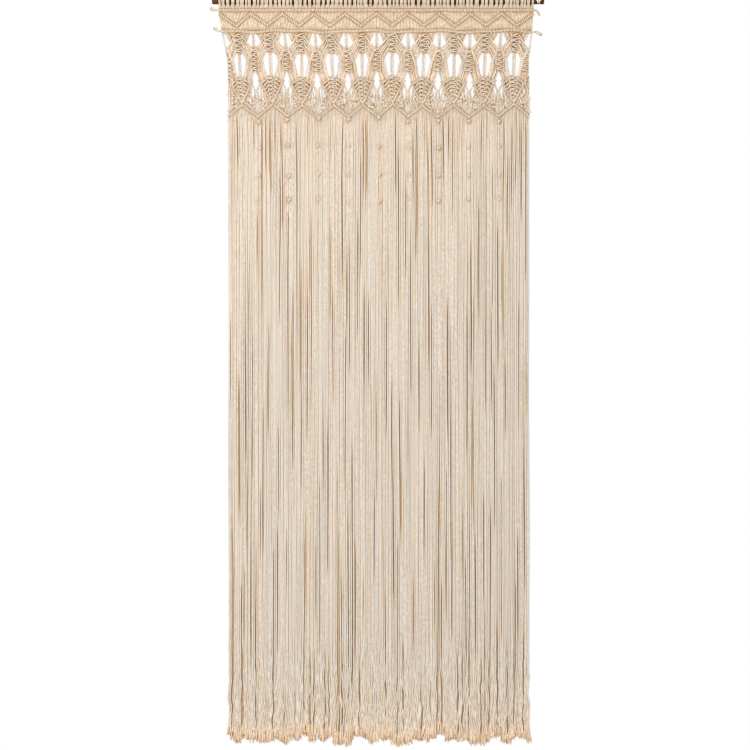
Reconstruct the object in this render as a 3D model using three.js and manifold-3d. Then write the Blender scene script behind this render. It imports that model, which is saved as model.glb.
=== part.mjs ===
// A macrame door curtain on a plain wooden rod, in millimetres, hanging as it is used.
// +X runs along the rod, the front looks towards -Y, +Z is up. The origin is the middle of the rod's axis.
// Every knotted piece is a closed solid of its outer form and largest gaps; single cords are finer than this.
import Module from 'manifold-3d';
import * as THREE from 'three';
import { mergeVertices } from 'three/addons/utils/BufferGeometryUtils.js';

// Driving sizes
const CLEARANCE = 0.3; // free space between neighbouring pieces
const REPEATS = 10; // pattern repeats across the panel
const ROD = { length: 883, radius: 11, easing: 2.5, sides: 32 };
const DRILLED_HOLE = { x: 426, radius: 2.8, sides: 12 };
const STOPPER_KNOT = { width: 14.5, depth: 12, drop: 2.5, shankRadius: 2.4, sides: 12 };
const LOOPS = { wall: 3.6, sides: 20, foot: -15.8, stem: 6.8, perRepeat: 2, slot: 3.4 };
const HOLDING_CORD = { radius: 4, sides: 12, reach: 8, frayLength: 13, frayRadius: 5.4 };
const FRAY_NECK = 0.8; // share of the cord's radius where a frayed end starts
const FRAY_WIDEST = 0.75; // share of a frayed end's length at its widest place
const TOP_CORD = { z: -27, leftRise: 0.35, rightRise: -0.9 }; // a rise is a frayed end's angle in radians
const LOWER_CORD = { z: -83, leftRise: 0.6, rightRise: -0.35 };
const THICKNESS = { band: 6, net: 6, ridge: 9, leaf: 9.5, border: 9, strings: 7.6 };
const RIDGE_WIDTH = 6.6;

// Where the pattern's first and last lines stand at each height; the lines between are evenly spaced.
const PATTERN = [
  { level: 'heading', z: -27, left: -424, right: 414 },
  { level: 'first leaves', z: -114, left: -411, right: 407 },
  { level: 'third leaves', z: -237, left: -403, right: 400 },
  { level: 'border', z: -311, left: -398, right: 400 },
  { level: 'string ends', z: -1960, left: -397, right: 403 },
];

// The panel's side edges, which draw in below the heading.
const SIDES = [
  { level: 'heading', z: -27, left: -425, right: 413 },
  { level: 'lower cord', z: -83, left: -417, right: 412 },
  { level: 'first leaves', z: -125, left: -405, right: 407 },
  { level: 'waist', z: -155, left: -400, right: 402 },
  { level: 'side knots', z: -210, left: -398, right: 402 },
  { level: 'border', z: -312, left: -396, right: 401 },
];

// The two zigzags. `peakLine` is the pattern line of the first peak, and from there they alternate.
const HEADING_ZIGZAG = { peakLine: 0, peak: -36, valley: -68 };
const BORDER_ZIGZAG = { peakLine: 0.5, peak: -279, valley: -311 };

// The net's openings. `line` is the pattern line of the first one, and `paired` sets one on each side of it.
// The corner columns are distances from the line: at the top, the widest place and the foot.
const OPENINGS = [
  { row: 'upper', line: 1, count: 9, paired: true, top: -91, widest: -111, foot: -126 },
  { row: 'middle', line: 0.5, count: 10, paired: true, top: -144, widest: -159, foot: -203 },
  { row: 'lower', line: 1, count: 9, paired: false, top: -192, widest: -217, foot: -235 },
];
const OPENING_CORNERS = {
  upper: { inner: 3.8, top: 7, outer: 17.5, foot: 9 },
  middle: { inner: 3.8, top: 9.5, outer: 19, foot: 8 },
  lower: { inner: 0, top: 1.5, outer: 9.8, foot: 1.5 },
};

// The leaves, and the two side braids, which stand proud of the net.
const LEAVES = [
  { row: 'first', line: 0.5, count: 10, top: -92, widest: -110, foot: -142, half: 18 },
  { row: 'second', line: 1, count: 9, top: -129, widest: -158, foot: -189, half: 12 },
  { row: 'third', line: 0.5, count: 10, top: -206, widest: -222, foot: -264, half: 20 },
];
const LEAF_WIDTHS = { top: 0.45, widest: 1, belly: 0.8, foot: 0.25 }; // shares of the half width
const SIDE_BRAID = { top: -148, foot: -208, width: 17 };

// The strings hang in bunches. Each row is one bunch of a repeat: its share of the width and its depth.
const BUNCHES = [
  { share: 0.23, forward: 0.9 },
  { share: 0.17, forward: -0.9 },
  { share: 0.21, forward: 0.3 },
  { share: 0.16, forward: -0.6 },
  { share: 0.23, forward: 0.6 },
];
const STRINGS = { gap: 1.8, spine: 14, overlap: 4 };
const FRINGE = { top: -1890, foot: -1970, range: 16, taper: 14, flare: 0.6 };

const wasm = await Module();
wasm.setup();

const COTTON = { color: 0xe2cfb6, roughness: 0.95, metalness: 0 };
const WALNUT = { color: 0x6b4328, roughness: 0.6, metalness: 0 };

/** The value of a table's column at height z, in a straight line between its rows. */
function columnAt(table, column, z) {
  const next = table.findIndex((row) => row.z <= z);
  if (next <= 0) return table[next === 0 ? 0 : table.length - 1][column];
  const above = table[next - 1];
  const below = table[next];
  return THREE.MathUtils.mapLinear(z, above.z, below.z, above[column], below[column]);
}

/** The x of a pattern line, from 0 at the left to REPEATS at the right, at height z. */
function lineX(line, z) {
  return THREE.MathUtils.lerp(columnAt(PATTERN, 'left', z), columnAt(PATTERN, 'right', z), line / REPEATS);
}

/** A closed geometry as a manifold solid. */
function solidOf(geometry) {
  const bare = geometry.clone();
  bare.deleteAttribute('normal');
  bare.deleteAttribute('uv');
  const merged = mergeVertices(bare, 1e-4);
  return new wasm.Manifold(new wasm.Mesh({
    numProp: 3,
    vertProperties: new Float32Array(merged.attributes.position.array),
    triVerts: new Uint32Array(merged.index.array),
  }));
}

/** A manifold solid as a three.js geometry. */
function geometryOf(solid) {
  const mesh = solid.getMesh();
  const geometry = new THREE.BufferGeometry();
  geometry.setAttribute('position', new THREE.BufferAttribute(new Float32Array(mesh.vertProperties), 3));
  geometry.setIndex(new THREE.BufferAttribute(new Uint32Array(mesh.triVerts), 1));
  geometry.computeVertexNormals();
  return geometry;
}

/** Several closed geometries joined into one. */
function joined(geometries) {
  return geometryOf(geometries.map(solidOf).reduce((whole, part) => whole.add(part)));
}

/** A geometry with others cut out of it. */
function cut(geometry, cutters) {
  return geometryOf(cutters.map(solidOf).reduce((whole, part) => whole.subtract(part), solidOf(geometry)));
}

/** A flat plate that faces the front: an outline of [x, z] corners, `thickness` deep about y = `forward`. */
function plate(outline, thickness, forward = 0, holes = []) {
  const anticlockwise = (points) => {
    const corners = points.map(([x, z]) => new THREE.Vector2(x, z));
    return THREE.ShapeUtils.isClockWise(corners) ? corners.reverse() : corners;
  };
  const shape = new THREE.Shape(anticlockwise(outline));
  shape.holes = holes.map((hole) => new THREE.Path(anticlockwise(hole)));
  return new THREE.ExtrudeGeometry(shape, { depth: thickness, bevelEnabled: false })
    .rotateX(Math.PI / 2)
    .translate(0, thickness / 2 - forward, 0);
}

/** The corners of a zigzag between two pattern lines, with its ends on the side edges, moved up by `lift`. */
function zigzagCorners(zigzag, lift) {
  const corners = [];
  for (let line = 0; line <= REPEATS; line += 0.5) {
    const isPeak = Number.isInteger(line - zigzag.peakLine);
    const z = isPeak ? zigzag.peak : zigzag.valley;
    const x = line === 0 ? columnAt(SIDES, 'left', z)
      : line === REPEATS ? columnAt(SIDES, 'right', z)
        : lineX(line, z);
    corners.push([x, z + lift]);
  }
  return corners;
}

/** How far straight up a zigzag has to move for its slopes to be `distance` apart. */
function liftFor(zigzag, distance) {
  const run = (lineX(REPEATS, zigzag.valley) - lineX(0, zigzag.valley)) / REPEATS / 2;
  return distance * Math.hypot(1, (zigzag.peak - zigzag.valley) / run);
}

/** The strip of a ridge that follows a zigzag. */
function zigzagStrip(zigzag, width) {
  const lift = liftFor(zigzag, width / 2);
  return [...zigzagCorners(zigzag, lift), ...zigzagCorners(zigzag, -lift).reverse()];
}

/** The side edge's corners between two heights, from the upper to the lower. */
function sideCorners(side, upper, lower) {
  const between = SIDES.filter((row) => row.z < upper && row.z > lower).map((row) => row.z);
  return [upper, ...between, lower].map((z) => [columnAt(SIDES, side, z), z]);
}

/** The rod: a turned dowel with eased ends and a hole drilled through it for the hanging cord. */
function rodGeometry() {
  const { length, radius, easing, sides } = ROD;
  const profile = [
    new THREE.Vector2(0, -length / 2),
    new THREE.Vector2(radius - easing, -length / 2),
    new THREE.Vector2(radius, -length / 2 + easing),
    new THREE.Vector2(radius, length / 2 - easing),
    new THREE.Vector2(radius - easing, length / 2),
    new THREE.Vector2(0, length / 2),
  ];
  const dowel = new THREE.LatheGeometry(profile, sides).rotateZ(-Math.PI / 2);
  const hole = DRILLED_HOLE;
  const drill = new THREE.CylinderGeometry(hole.radius, hole.radius, 4 * radius, hole.sides)
    .translate(hole.x, 0, 0);
  return cut(dowel, [drill]);
}

/** The hanging cord's stopper knot in front of the rod, with its shank in the drilled hole. */
function stopperKnotGeometry() {
  const { width, depth, drop, shankRadius, sides } = STOPPER_KNOT;
  const front = ROD.radius + CLEARANCE;
  const ball = new THREE.SphereGeometry(0.5, sides, sides * 2 / 3)
    .scale(width, depth, width)
    .translate(DRILLED_HOLE.x, -front - depth / 2, -drop);
  const shankLength = ROD.radius + front + depth / 2;
  const shank = new THREE.CylinderGeometry(shankRadius, shankRadius, shankLength, DRILLED_HOLE.sides)
    .translate(DRILLED_HOLE.x, ROD.radius - shankLength / 2, 0);
  return joined([ball, shank]);
}

/** The mounting loops: a sleeve round the rod on a stem of hanging legs, slotted between bunches of loops. */
function loopRowGeometry() {
  const { wall, sides, foot, stem, perRepeat, slot } = LOOPS;
  const inner = (ROD.radius + CLEARANCE) / Math.cos(Math.PI / sides);
  const outer = inner + wall;
  const stemFoot = TOP_CORD.z + HOLDING_CORD.radius + CLEARANCE;
  const halfAngle = Math.asin(stem / 2 / outer);
  const down = -Math.PI / 2;
  const profile = new THREE.Shape();
  profile.absarc(0, 0, outer, down + halfAngle, down - halfAngle + 2 * Math.PI, false);
  profile.lineTo(-stem / 2, stemFoot);
  profile.lineTo(stem / 2, stemFoot);
  profile.closePath();
  const bore = new THREE.Path();
  bore.absarc(0, 0, inner, Math.PI / sides, Math.PI / sides + 2 * Math.PI, true);
  profile.holes.push(bore);

  const [left, right] = ['left', 'right'].map((side) => columnAt(SIDES, side, TOP_CORD.z));
  const toRow = new THREE.Matrix4().makeBasis(
    new THREE.Vector3(0, 1, 0),
    new THREE.Vector3(0, 0, 1),
    new THREE.Vector3(1, 0, 0),
  );
  const sleeve = new THREE.ExtrudeGeometry(profile, {
    depth: right - left,
    bevelEnabled: false,
    curveSegments: sides / 2,
  }).applyMatrix4(toRow).translate(left, 0, 0);

  const slots = [];
  const slotHeight = outer + 2 - foot;
  for (let line = 1 / perRepeat; line < REPEATS; line += 1 / perRepeat) {
    slots.push(new THREE.BoxGeometry(slot, 3 * outer, slotHeight)
      .translate(lineX(line, TOP_CORD.z), 0, foot + slotHeight / 2));
  }
  return cut(sleeve, slots);
}

/** A frayed cord end: a short flared tuft from `from` towards `to`. */
function frayedEnd(from, to) {
  const { radius, frayRadius, sides } = HOLDING_CORD;
  const length = from.distanceTo(to);
  const profile = [
    new THREE.Vector2(0, 0),
    new THREE.Vector2(radius * FRAY_NECK, 0),
    new THREE.Vector2(frayRadius, length * FRAY_WIDEST),
    new THREE.Vector2(0, length),
  ];
  const turn = new THREE.Quaternion().setFromUnitVectors(
    new THREE.Vector3(0, 1, 0),
    new THREE.Vector3().subVectors(to, from).normalize(),
  );
  return new THREE.LatheGeometry(profile, sides).applyQuaternion(turn).translate(from.x, from.y, from.z);
}

/** A holding cord laid straight across at height z, with a frayed end that leaves each side at an angle. */
function holdingCordGeometry({ z, leftRise, rightRise }) {
  const { radius, sides, reach, frayLength } = HOLDING_CORD;
  const left = new THREE.Vector3(columnAt(SIDES, 'left', z) - reach, 0, z);
  const right = new THREE.Vector3(columnAt(SIDES, 'right', z) + reach, 0, z);
  const section = new THREE.Shape();
  section.absarc(0, 0, radius, 0, 2 * Math.PI, false);
  const cord = new THREE.ExtrudeGeometry(section, {
    extrudePath: new THREE.LineCurve3(left, right),
    steps: 1,
    curveSegments: sides / 2,
  });
  const tuft = (end, side, rise) => {
    const direction = new THREE.Vector3(side * Math.cos(rise), 0, Math.sin(rise));
    const from = end.clone().setX(end.x - side * radius);
    return frayedEnd(from, from.clone().addScaledVector(direction, frayLength + radius));
  };
  return joined([cord, tuft(left, -1, leftRise), tuft(right, 1, rightRise)]);
}

/** The heading between the two holding cords: close upright cords, with a zigzag ridge proud of them. */
function zigzagBandGeometry() {
  const upper = TOP_CORD.z - HOLDING_CORD.radius - CLEARANCE;
  const lower = LOWER_CORD.z + HOLDING_CORD.radius + CLEARANCE;
  const outline = [...sideCorners('left', upper, lower).reverse(), ...sideCorners('right', upper, lower)];
  const ridge = plate(zigzagStrip(HEADING_ZIGZAG, RIDGE_WIDTH), THICKNESS.ridge);
  return joined([plate(outline, THICKNESS.band), ridge]);
}

/** The outlines of one row of openings, each pair mirrored about its pattern line. */
function openingOutlines({ row, line, count, paired, top, widest, foot }) {
  const corners = OPENING_CORNERS[row];
  const lobe = [
    [corners.inner, top],
    [corners.top, top],
    [corners.outer, widest],
    [corners.foot, foot],
    [corners.inner, (widest + foot) / 2],
  ];
  const rightHalf = paired ? lobe : lobe.slice(1, 4);
  const leftHalf = rightHalf.map(([x, z]) => [-x, z]).reverse();
  const outlines = paired ? [rightHalf, leftHalf] : [[...rightHalf, ...leftHalf]];
  const placed = (outline, at) => outline.map(([x, z]) => [lineX(at, (top + foot) / 2) + x, z]);
  return Array.from({ length: count }, (_, n) => outlines.map((outline) => placed(outline, line + n))).flat();
}

/** The outlines of one row of leaves: pointed ovals with their widest place near the top. */
function leafOutlines({ line, count, top, widest, foot, half }) {
  const rightHalf = [
    [half * LEAF_WIDTHS.top, top],
    [half * LEAF_WIDTHS.widest, widest],
    [half * LEAF_WIDTHS.belly, (widest + foot) / 2],
    [half * LEAF_WIDTHS.foot, foot],
  ];
  const outline = [...rightHalf, ...rightHalf.map(([x, z]) => [-x, z]).reverse()];
  return Array.from({ length: count }, (_, n) => {
    const middle = lineX(line + n, (top + foot) / 2);
    return outline.map(([x, z]) => [middle + x, z]);
  });
}

/** The net: its outer form with the largest openings, and the leaves and side braids proud of it. */
function leafNetGeometry() {
  const upper = LOWER_CORD.z - HOLDING_CORD.radius - CLEARANCE;
  const lift = liftFor(BORDER_ZIGZAG, RIDGE_WIDTH / 2 + CLEARANCE);
  const footLine = zigzagCorners(BORDER_ZIGZAG, lift);
  const endZ = footLine[0][1];
  const outline = [
    ...sideCorners('left', upper, endZ).reverse().slice(1),
    ...sideCorners('right', upper, endZ).slice(0, -1),
    ...footLine.slice().reverse(),
  ];
  const net = plate(outline, THICKNESS.net, 0, OPENINGS.flatMap(openingOutlines));
  const leaves = LEAVES.flatMap(leafOutlines).map((leaf) => plate(leaf, THICKNESS.leaf));
  const braids = ['left', 'right'].map((side) => {
    const edge = sideCorners(side, SIDE_BRAID.top, SIDE_BRAID.foot);
    const inward = side === 'left' ? SIDE_BRAID.width : -SIDE_BRAID.width;
    const inner = edge.map(([x, z]) => [x + inward, z]).reverse();
    return plate([...edge, ...inner], THICKNESS.leaf);
  });
  return joined([net, ...leaves, ...braids]);
}

/** An uneven number from -1 to 1 for each whole number, the same on every run. */
function unevenness(n) {
  return Math.sin(n * 2.4) * 0.6 + Math.sin(n * 7.3 + 1) * 0.4;
}

/** The border zigzag's height at x, moved up by `lift`. */
function borderHeight(x, lift) {
  const corners = zigzagCorners(BORDER_ZIGZAG, lift);
  const next = Math.max(1, corners.findIndex((corner) => corner[0] >= x));
  const [from, to] = [corners[next - 1], corners[next]];
  return THREE.MathUtils.mapLinear(x, from[0], to[0], from[1], to[1]);
}

/** One bunch of strings from the spine down to its uneven frayed tip. */
function bunchGeometry(line, number, { share, forward }) {
  const { gap, spine, overlap } = STRINGS;
  const lift = -liftFor(BORDER_ZIGZAG, RIDGE_WIDTH / 2 + CLEARANCE);
  const startZ = BORDER_ZIGZAG.valley;
  const [left, right] = [line, line + share].map((at) => lineX(at, startZ));
  const [lowLeft, lowRight] = [line, line + share].map((at) => lineX(at, FRINGE.top));
  const middle = (left + right) / 2;
  const top = borderHeight(middle, lift) - spine + overlap;
  const tip = FRINGE.foot + FRINGE.range * unevenness(number);
  const outline = [
    [left + gap / 2, top],
    [lowLeft + gap / 2, FRINGE.top],
    [lowLeft + gap / 2 - FRINGE.flare, tip + FRINGE.taper],
    [(lowLeft + lowRight) / 2, tip],
    [lowRight - gap / 2 + FRINGE.flare, tip + FRINGE.taper],
    [lowRight - gap / 2, FRINGE.top],
    [right - gap / 2, top],
  ];
  return plate(outline, THICKNESS.strings - 2 * Math.abs(forward), forward);
}

/** The hanging strings: one comb of bunches on a spine that follows the border. */
function stringCombGeometry() {
  const lift = -liftFor(BORDER_ZIGZAG, RIDGE_WIDTH / 2 + CLEARANCE);
  const spine = [
    ...zigzagCorners(BORDER_ZIGZAG, lift),
    ...zigzagCorners(BORDER_ZIGZAG, lift - STRINGS.spine).reverse(),
  ];
  const bunches = [];
  for (let repeat = 0; repeat < REPEATS; repeat += 1) {
    let line = repeat;
    for (const bunch of BUNCHES) {
      bunches.push(bunchGeometry(line, bunches.length, bunch));
      line += bunch.share;
    }
  }
  return joined([plate(spine, THICKNESS.strings), ...bunches]);
}

const group = new THREE.Group();
for (const [name, geometry, finish] of [
  ['rod', rodGeometry(), WALNUT],
  ['stopper_knot', stopperKnotGeometry(), COTTON],
  ['loop_row', loopRowGeometry(), COTTON],
  ['holding_cord_top', holdingCordGeometry(TOP_CORD), COTTON],
  ['zigzag_band', zigzagBandGeometry(), COTTON],
  ['holding_cord_lower', holdingCordGeometry(LOWER_CORD), COTTON],
  ['leaf_net', leafNetGeometry(), COTTON],
  ['zigzag_border', plate(zigzagStrip(BORDER_ZIGZAG, RIDGE_WIDTH), THICKNESS.border), COTTON],
  ['string_comb', stringCombGeometry(), COTTON],
]) {
  const mesh = new THREE.Mesh(geometry, new THREE.MeshStandardMaterial(finish));
  mesh.name = name;
  group.add(mesh);
}

export default group;
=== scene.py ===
"""A macrame door curtain on a wooden rod: its cords, knots, strings and finishes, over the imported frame.

Sizes are in millimetres unless a name ends in _m. The axes are the model's own: x along the rod, y away
from the front of the curtain, z up. A place in the pattern is given by its pattern line, from 0 at the
left to 10 at the right: the second row of leaves hangs on the whole lines, the others on the half lines.
"""
import logging
import math
from dataclasses import dataclass
from enum import Enum
from typing import Callable

import bpy
import numpy as np
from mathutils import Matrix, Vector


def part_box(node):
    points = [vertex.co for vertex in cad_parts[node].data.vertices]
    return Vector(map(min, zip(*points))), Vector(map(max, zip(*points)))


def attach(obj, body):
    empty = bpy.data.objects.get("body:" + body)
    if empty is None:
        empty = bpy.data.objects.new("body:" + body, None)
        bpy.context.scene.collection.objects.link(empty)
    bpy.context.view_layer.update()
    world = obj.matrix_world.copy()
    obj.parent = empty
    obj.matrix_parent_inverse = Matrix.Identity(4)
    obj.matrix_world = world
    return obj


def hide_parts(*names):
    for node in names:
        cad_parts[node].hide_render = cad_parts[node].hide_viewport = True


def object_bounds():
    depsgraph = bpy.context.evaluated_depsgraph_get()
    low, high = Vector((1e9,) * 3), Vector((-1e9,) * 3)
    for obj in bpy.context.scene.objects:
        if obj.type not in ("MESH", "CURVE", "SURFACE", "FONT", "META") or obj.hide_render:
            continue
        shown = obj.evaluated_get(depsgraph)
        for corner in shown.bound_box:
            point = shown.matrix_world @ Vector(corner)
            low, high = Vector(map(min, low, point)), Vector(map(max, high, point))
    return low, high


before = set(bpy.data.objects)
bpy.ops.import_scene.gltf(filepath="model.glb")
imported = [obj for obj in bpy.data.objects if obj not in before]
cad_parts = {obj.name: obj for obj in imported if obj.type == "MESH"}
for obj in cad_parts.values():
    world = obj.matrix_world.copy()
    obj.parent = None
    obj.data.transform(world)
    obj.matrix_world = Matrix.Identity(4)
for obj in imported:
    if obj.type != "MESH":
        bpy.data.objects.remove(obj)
CAD_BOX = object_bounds()

MM = 0.001
SEED = 41
REPEATS = 10
CORDS_PER_REPEAT = 22
CORDS = REPEATS * CORDS_PER_REPEAT
CORD_RADIUS = 1.9
HALF_REPEAT = 41.0  # nominal distance between neighbouring lines of leaves

Array = np.ndarray
log = logging.getLogger("curtain")


class Side(Enum):
    """A side of a pattern line, as a sign along x."""

    LEFT = -1
    RIGHT = 1


class Level(Enum):
    """Heights where the panel changes: z, first and last pattern line, and both side edges."""

    HEADING = (-27.0, -424.0, 414.0, -425.0, 413.0)
    LOWER_CORD = (-83.0, -415.6, 409.5, -417.0, 412.0)
    FIRST_LEAVES = (-125.0, -410.3, 406.4, -407.0, 407.0)
    WAIST = (-155.0, -408.3, 404.7, -400.5, 402.0)
    SIDE_KNOTS = (-210.0, -404.8, 401.6, -398.5, 402.0)
    THIRD_LEAVES = (-237.0, -403.0, 400.0, -397.5, 401.5)
    BORDER = (-311.0, -398.0, 400.0, -396.5, 401.0)
    TIPS = (-1960.0, -397.0, 403.0, -395.0, 404.0)


@dataclass(frozen=True)
class Pattern:
    """Turns places in the pattern into places on the panel."""

    def _column(self, index: int, z: Array | float) -> Array:
        """The value of one Level column at height z, in straight lines between the levels.

        Args:
            index: which column, with the heights as 0.
            z: one height or many.

        Returns:
            The value at each height.
        """
        rows = sorted((level.value[0], level.value[index]) for level in Level)
        heights, values = zip(*rows)
        return np.interp(z, heights, values)

    def line_x(self, line: Array | float, z: Array | float) -> Array:
        """The x of a pattern line at height z."""
        first, last = self._column(1, z), self._column(2, z)
        return first + (last - first) * np.asarray(line) / REPEATS

    def edge_x(self, side: Side, z: Array | float) -> Array:
        """The x of the panel's side edge at height z."""
        return self._column(3 if side is Side.LEFT else 4, z)

    def in_half_cell(self, cell: int, side: Side, reach: Array, z: Array) -> Array:
        """Places points beside a half line.

        Args:
            cell: the repeat, from 0 at the left.
            side: the side of the repeat's half line.
            reach: distances from the half line, where HALF_REPEAT is the neighbouring whole line.
            z: the heights of the points.

        Returns:
            The x of each point. In the outermost half cells the edge stands in for the whole line.
        """
        half = self.line_x(cell + 0.5, z)
        whole = cell + (1 if side is Side.RIGHT else 0)
        outer = self.edge_x(side, z) if whole in (0, REPEATS) else self.line_x(whole, z)
        return half + (outer - half) * reach / HALF_REPEAT

    def unevenness(self, paths: Array) -> Array:
        """The small shifts of hand knotting: none at the rod, most in the net, fading in the strings.

        Args:
            paths: points in millimetres, with x, y, z in the last axis.

        Returns:
            How far each point moves, in the same shape.
        """
        x, z = paths[..., 0], paths[..., 2]
        share = np.interp(z, (-700, -330, -130, -84, -56, -28), (0.0, 1.0, 1.0, 0.2, 0.5, 0.0))
        across = 1.5 * np.sin(x / 61 + z / 90) + 1.0 * np.sin(x / 27 - z / 70 + 2)
        up = 1.5 * np.sin(x / 52 + 1) + 1.1 * np.sin(x / 24 + z / 110 + 2.3) + 0.7 * np.sin(x / 12.5 + z / 60)
        return np.stack([across * share, np.zeros_like(x), up * share], axis=-1)


PATTERN = Pattern()


@dataclass(frozen=True)
class Zigzag:
    """A zigzag ridge: the pattern line of its first peak, and the heights of its corners."""

    peak_line: float
    peak: float
    valley: float

    def height(self, line: Array) -> Array:
        """The ridge's height at a pattern line."""
        away = np.abs((np.asarray(line, float) - self.peak_line + 0.5) % 1.0 - 0.5) * 2
        return self.peak + (self.valley - self.peak) * away


HEADING_ZIGZAG = Zigzag(peak_line=0.0, peak=-36.5, valley=-68.0)
BORDER_ZIGZAG = Zigzag(peak_line=0.5, peak=-278.0, valley=-311.0)


def smooth_path(corners: Array, steps: int) -> Array:
    """Rounds paths through their points with Catmull-Rom curves.

    Args:
        corners: the points of several paths, shaped (paths, points, 3).
        steps: the pieces that each stretch between two points is cut into.

    Returns:
        The rounded paths, shaped (paths, (points - 1) * steps + 1, 3).
    """
    ends = 2 * corners[:, [0, -1]] - corners[:, [1, -2]]
    held = np.concatenate([ends[:, :1], corners, ends[:, 1:]], axis=1)
    before, start, stop, after = (held[:, i:held.shape[1] - 3 + i, None] for i in range(4))
    t = (np.arange(steps) / steps)[:, None]
    curve = 0.5 * (
        2 * start
        + (stop - before) * t
        + (2 * before - 5 * start + 4 * stop - after) * t**2
        + (3 * start - before - 3 * stop + after) * t**3
    )
    paths, stretches = curve.shape[:2]
    return np.concatenate([curve.reshape(paths, stretches * steps, 3), corners[:, -1:]], axis=1)


def path_frames(paths: Array) -> tuple[Array, Array]:
    """The two directions across each point of each path, turned as little as possible along it.

    Args:
        paths: the points of the paths, shaped (paths, points, 3).

    Returns:
        Two arrays of unit directions, each shaped like the paths.
    """
    steps = np.diff(paths, axis=1)
    tangents = np.concatenate([steps[:, :1], steps[:, 1:] + steps[:, :-1], steps[:, -1:]], axis=1)
    tangents /= np.linalg.norm(tangents, axis=2, keepdims=True) + 1e-12
    first = np.cross(tangents[:, 0], (0.0, 1.0, 0.0))
    weak = np.linalg.norm(first, axis=1) < 0.1
    first[weak] = np.cross(tangents[weak, 0], (1.0, 0.0, 0.0))
    across = np.empty_like(paths)
    across[:, 0] = first / np.linalg.norm(first, axis=1, keepdims=True)
    for i in range(paths.shape[1] - 1):
        chord = paths[:, i + 1] - paths[:, i]
        size = np.maximum((chord**2).sum(1, keepdims=True), 1e-12)
        turned = across[:, i] - 2 / size * (chord * across[:, i]).sum(1, keepdims=True) * chord
        carried = tangents[:, i] - 2 / size * (chord * tangents[:, i]).sum(1, keepdims=True) * chord
        change = tangents[:, i + 1] - carried
        size = np.maximum((change**2).sum(1, keepdims=True), 1e-12)
        across[:, i + 1] = turned - 2 / size * (change * turned).sum(1, keepdims=True) * change
    return across, np.cross(tangents, across)


class Cords:
    """Collects cords as closed tubes for one joined mesh."""

    def __init__(self, sides: int = 6) -> None:
        """Starts an empty collection whose tubes have this many sides.

        Args:
            sides: how many sides each tube has.
        """
        self.sides = sides
        self.points: list[Array] = []
        self.corners: list[Array] = []
        self.starts: list[Array] = []
        self.maps: list[Array] = []
        self.tones: list[Array] = []
        self.count = 0
        self.corner_count = 0

    def add(self, paths: Array, radius: Array | float, tone: Array | float = 0.5) -> None:
        """Adds one tube along each path.

        Args:
            paths: the middle lines, shaped (paths, points, 3), in millimetres.
            radius: one radius, or an array that fits (paths, points).
            tone: from 0, warm, to 1, pale: a number, or an array that fits (paths, points).
        """
        paths = paths + PATTERN.unevenness(paths)
        many, rings, sides = paths.shape[0], paths.shape[1], self.sides
        across, beside = path_frames(paths)
        angle = np.arange(sides) * 2 * np.pi / sides
        reach = np.broadcast_to(radius, (many, rings))[:, :, None, None]
        round_it = np.cos(angle)[:, None] * across[:, :, None] + np.sin(angle)[:, None] * beside[:, :, None]
        points = paths[:, :, None] + reach * round_it
        number = self.count + np.arange(many * rings * sides).reshape(many, rings, sides)
        step = np.linalg.norm(np.diff(paths, axis=1), axis=2)
        along = np.concatenate([np.zeros((many, 1)), np.cumsum(step, axis=1)], axis=1)

        low, high = number[:, :-1], number[:, 1:]
        walls = np.stack([low, np.roll(low, -1, 2), np.roll(high, -1, 2), high], axis=-1)
        turn = np.arange(sides) / sides
        around = np.stack([turn, turn + 1 / sides, turn + 1 / sides, turn], axis=-1)
        length = np.stack([along[:, :-1], along[:, :-1], along[:, 1:], along[:, 1:]], axis=-1)
        wall_map = np.stack(
            np.broadcast_arrays(around[None, None], length[:, :, None]), axis=-1
        )
        ends = np.concatenate([number[:, 0, ::-1], number[:, -1]], axis=0)
        end_map = np.zeros((ends.size, 2))
        end_map[:, 1] = np.repeat(np.concatenate([along[:, 0], along[:, -1]]), sides)

        self.points.append(points.reshape(-1, 3))
        self.corners += [walls.ravel(), ends.ravel()]
        wall_starts = self.corner_count + np.arange(walls.size // 4) * 4
        end_starts = self.corner_count + walls.size + np.arange(2 * many) * sides
        self.starts += [wall_starts, end_starts]
        self.maps += [wall_map.reshape(-1, 2), end_map]
        self.tones.append(np.repeat(np.broadcast_to(tone, (many, rings)).ravel(), sides))
        self.count += points.size // 3
        self.corner_count += walls.size + ends.size

    def build(self, name: str, finish: bpy.types.Material) -> bpy.types.Object:
        """Makes the joined mesh, in metres, and gives it its finish.

        Args:
            name: the new object's name.
            finish: the material it wears.

        Returns:
            The object with all the tubes in one mesh.
        """
        mesh = bpy.data.meshes.new(name)
        points = np.concatenate(self.points) * MM
        corners = np.concatenate(self.corners)
        starts = np.concatenate(self.starts)
        mesh.vertices.add(len(points))
        mesh.vertices.foreach_set("co", points.astype(np.float32).ravel())
        mesh.loops.add(len(corners))
        mesh.loops.foreach_set("vertex_index", corners.astype(np.int32))
        mesh.polygons.add(len(starts))
        mesh.polygons.foreach_set("loop_start", starts.astype(np.int32))
        layer = mesh.uv_layers.new(name="lay")
        layer.uv.foreach_set("vector", np.concatenate(self.maps).astype(np.float32).ravel())
        shade = mesh.attributes.new("tone", "FLOAT", "POINT")
        shade.data.foreach_set("value", np.concatenate(self.tones).astype(np.float32))
        mesh.update(calc_edges=True)
        mesh.shade_smooth()
        mesh.validate()
        mesh.materials.append(finish)
        piece = bpy.data.objects.new(name, mesh)
        bpy.context.scene.collection.objects.link(piece)
        log.info("%s: %d faces", name, len(mesh.polygons))
        return piece


def points_of(x: Array, y: Array, z: Array) -> Array:
    """Stacks coordinates that fit each other into points."""
    return np.stack(np.broadcast_arrays(x, y, z), axis=-1).astype(float)


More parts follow.
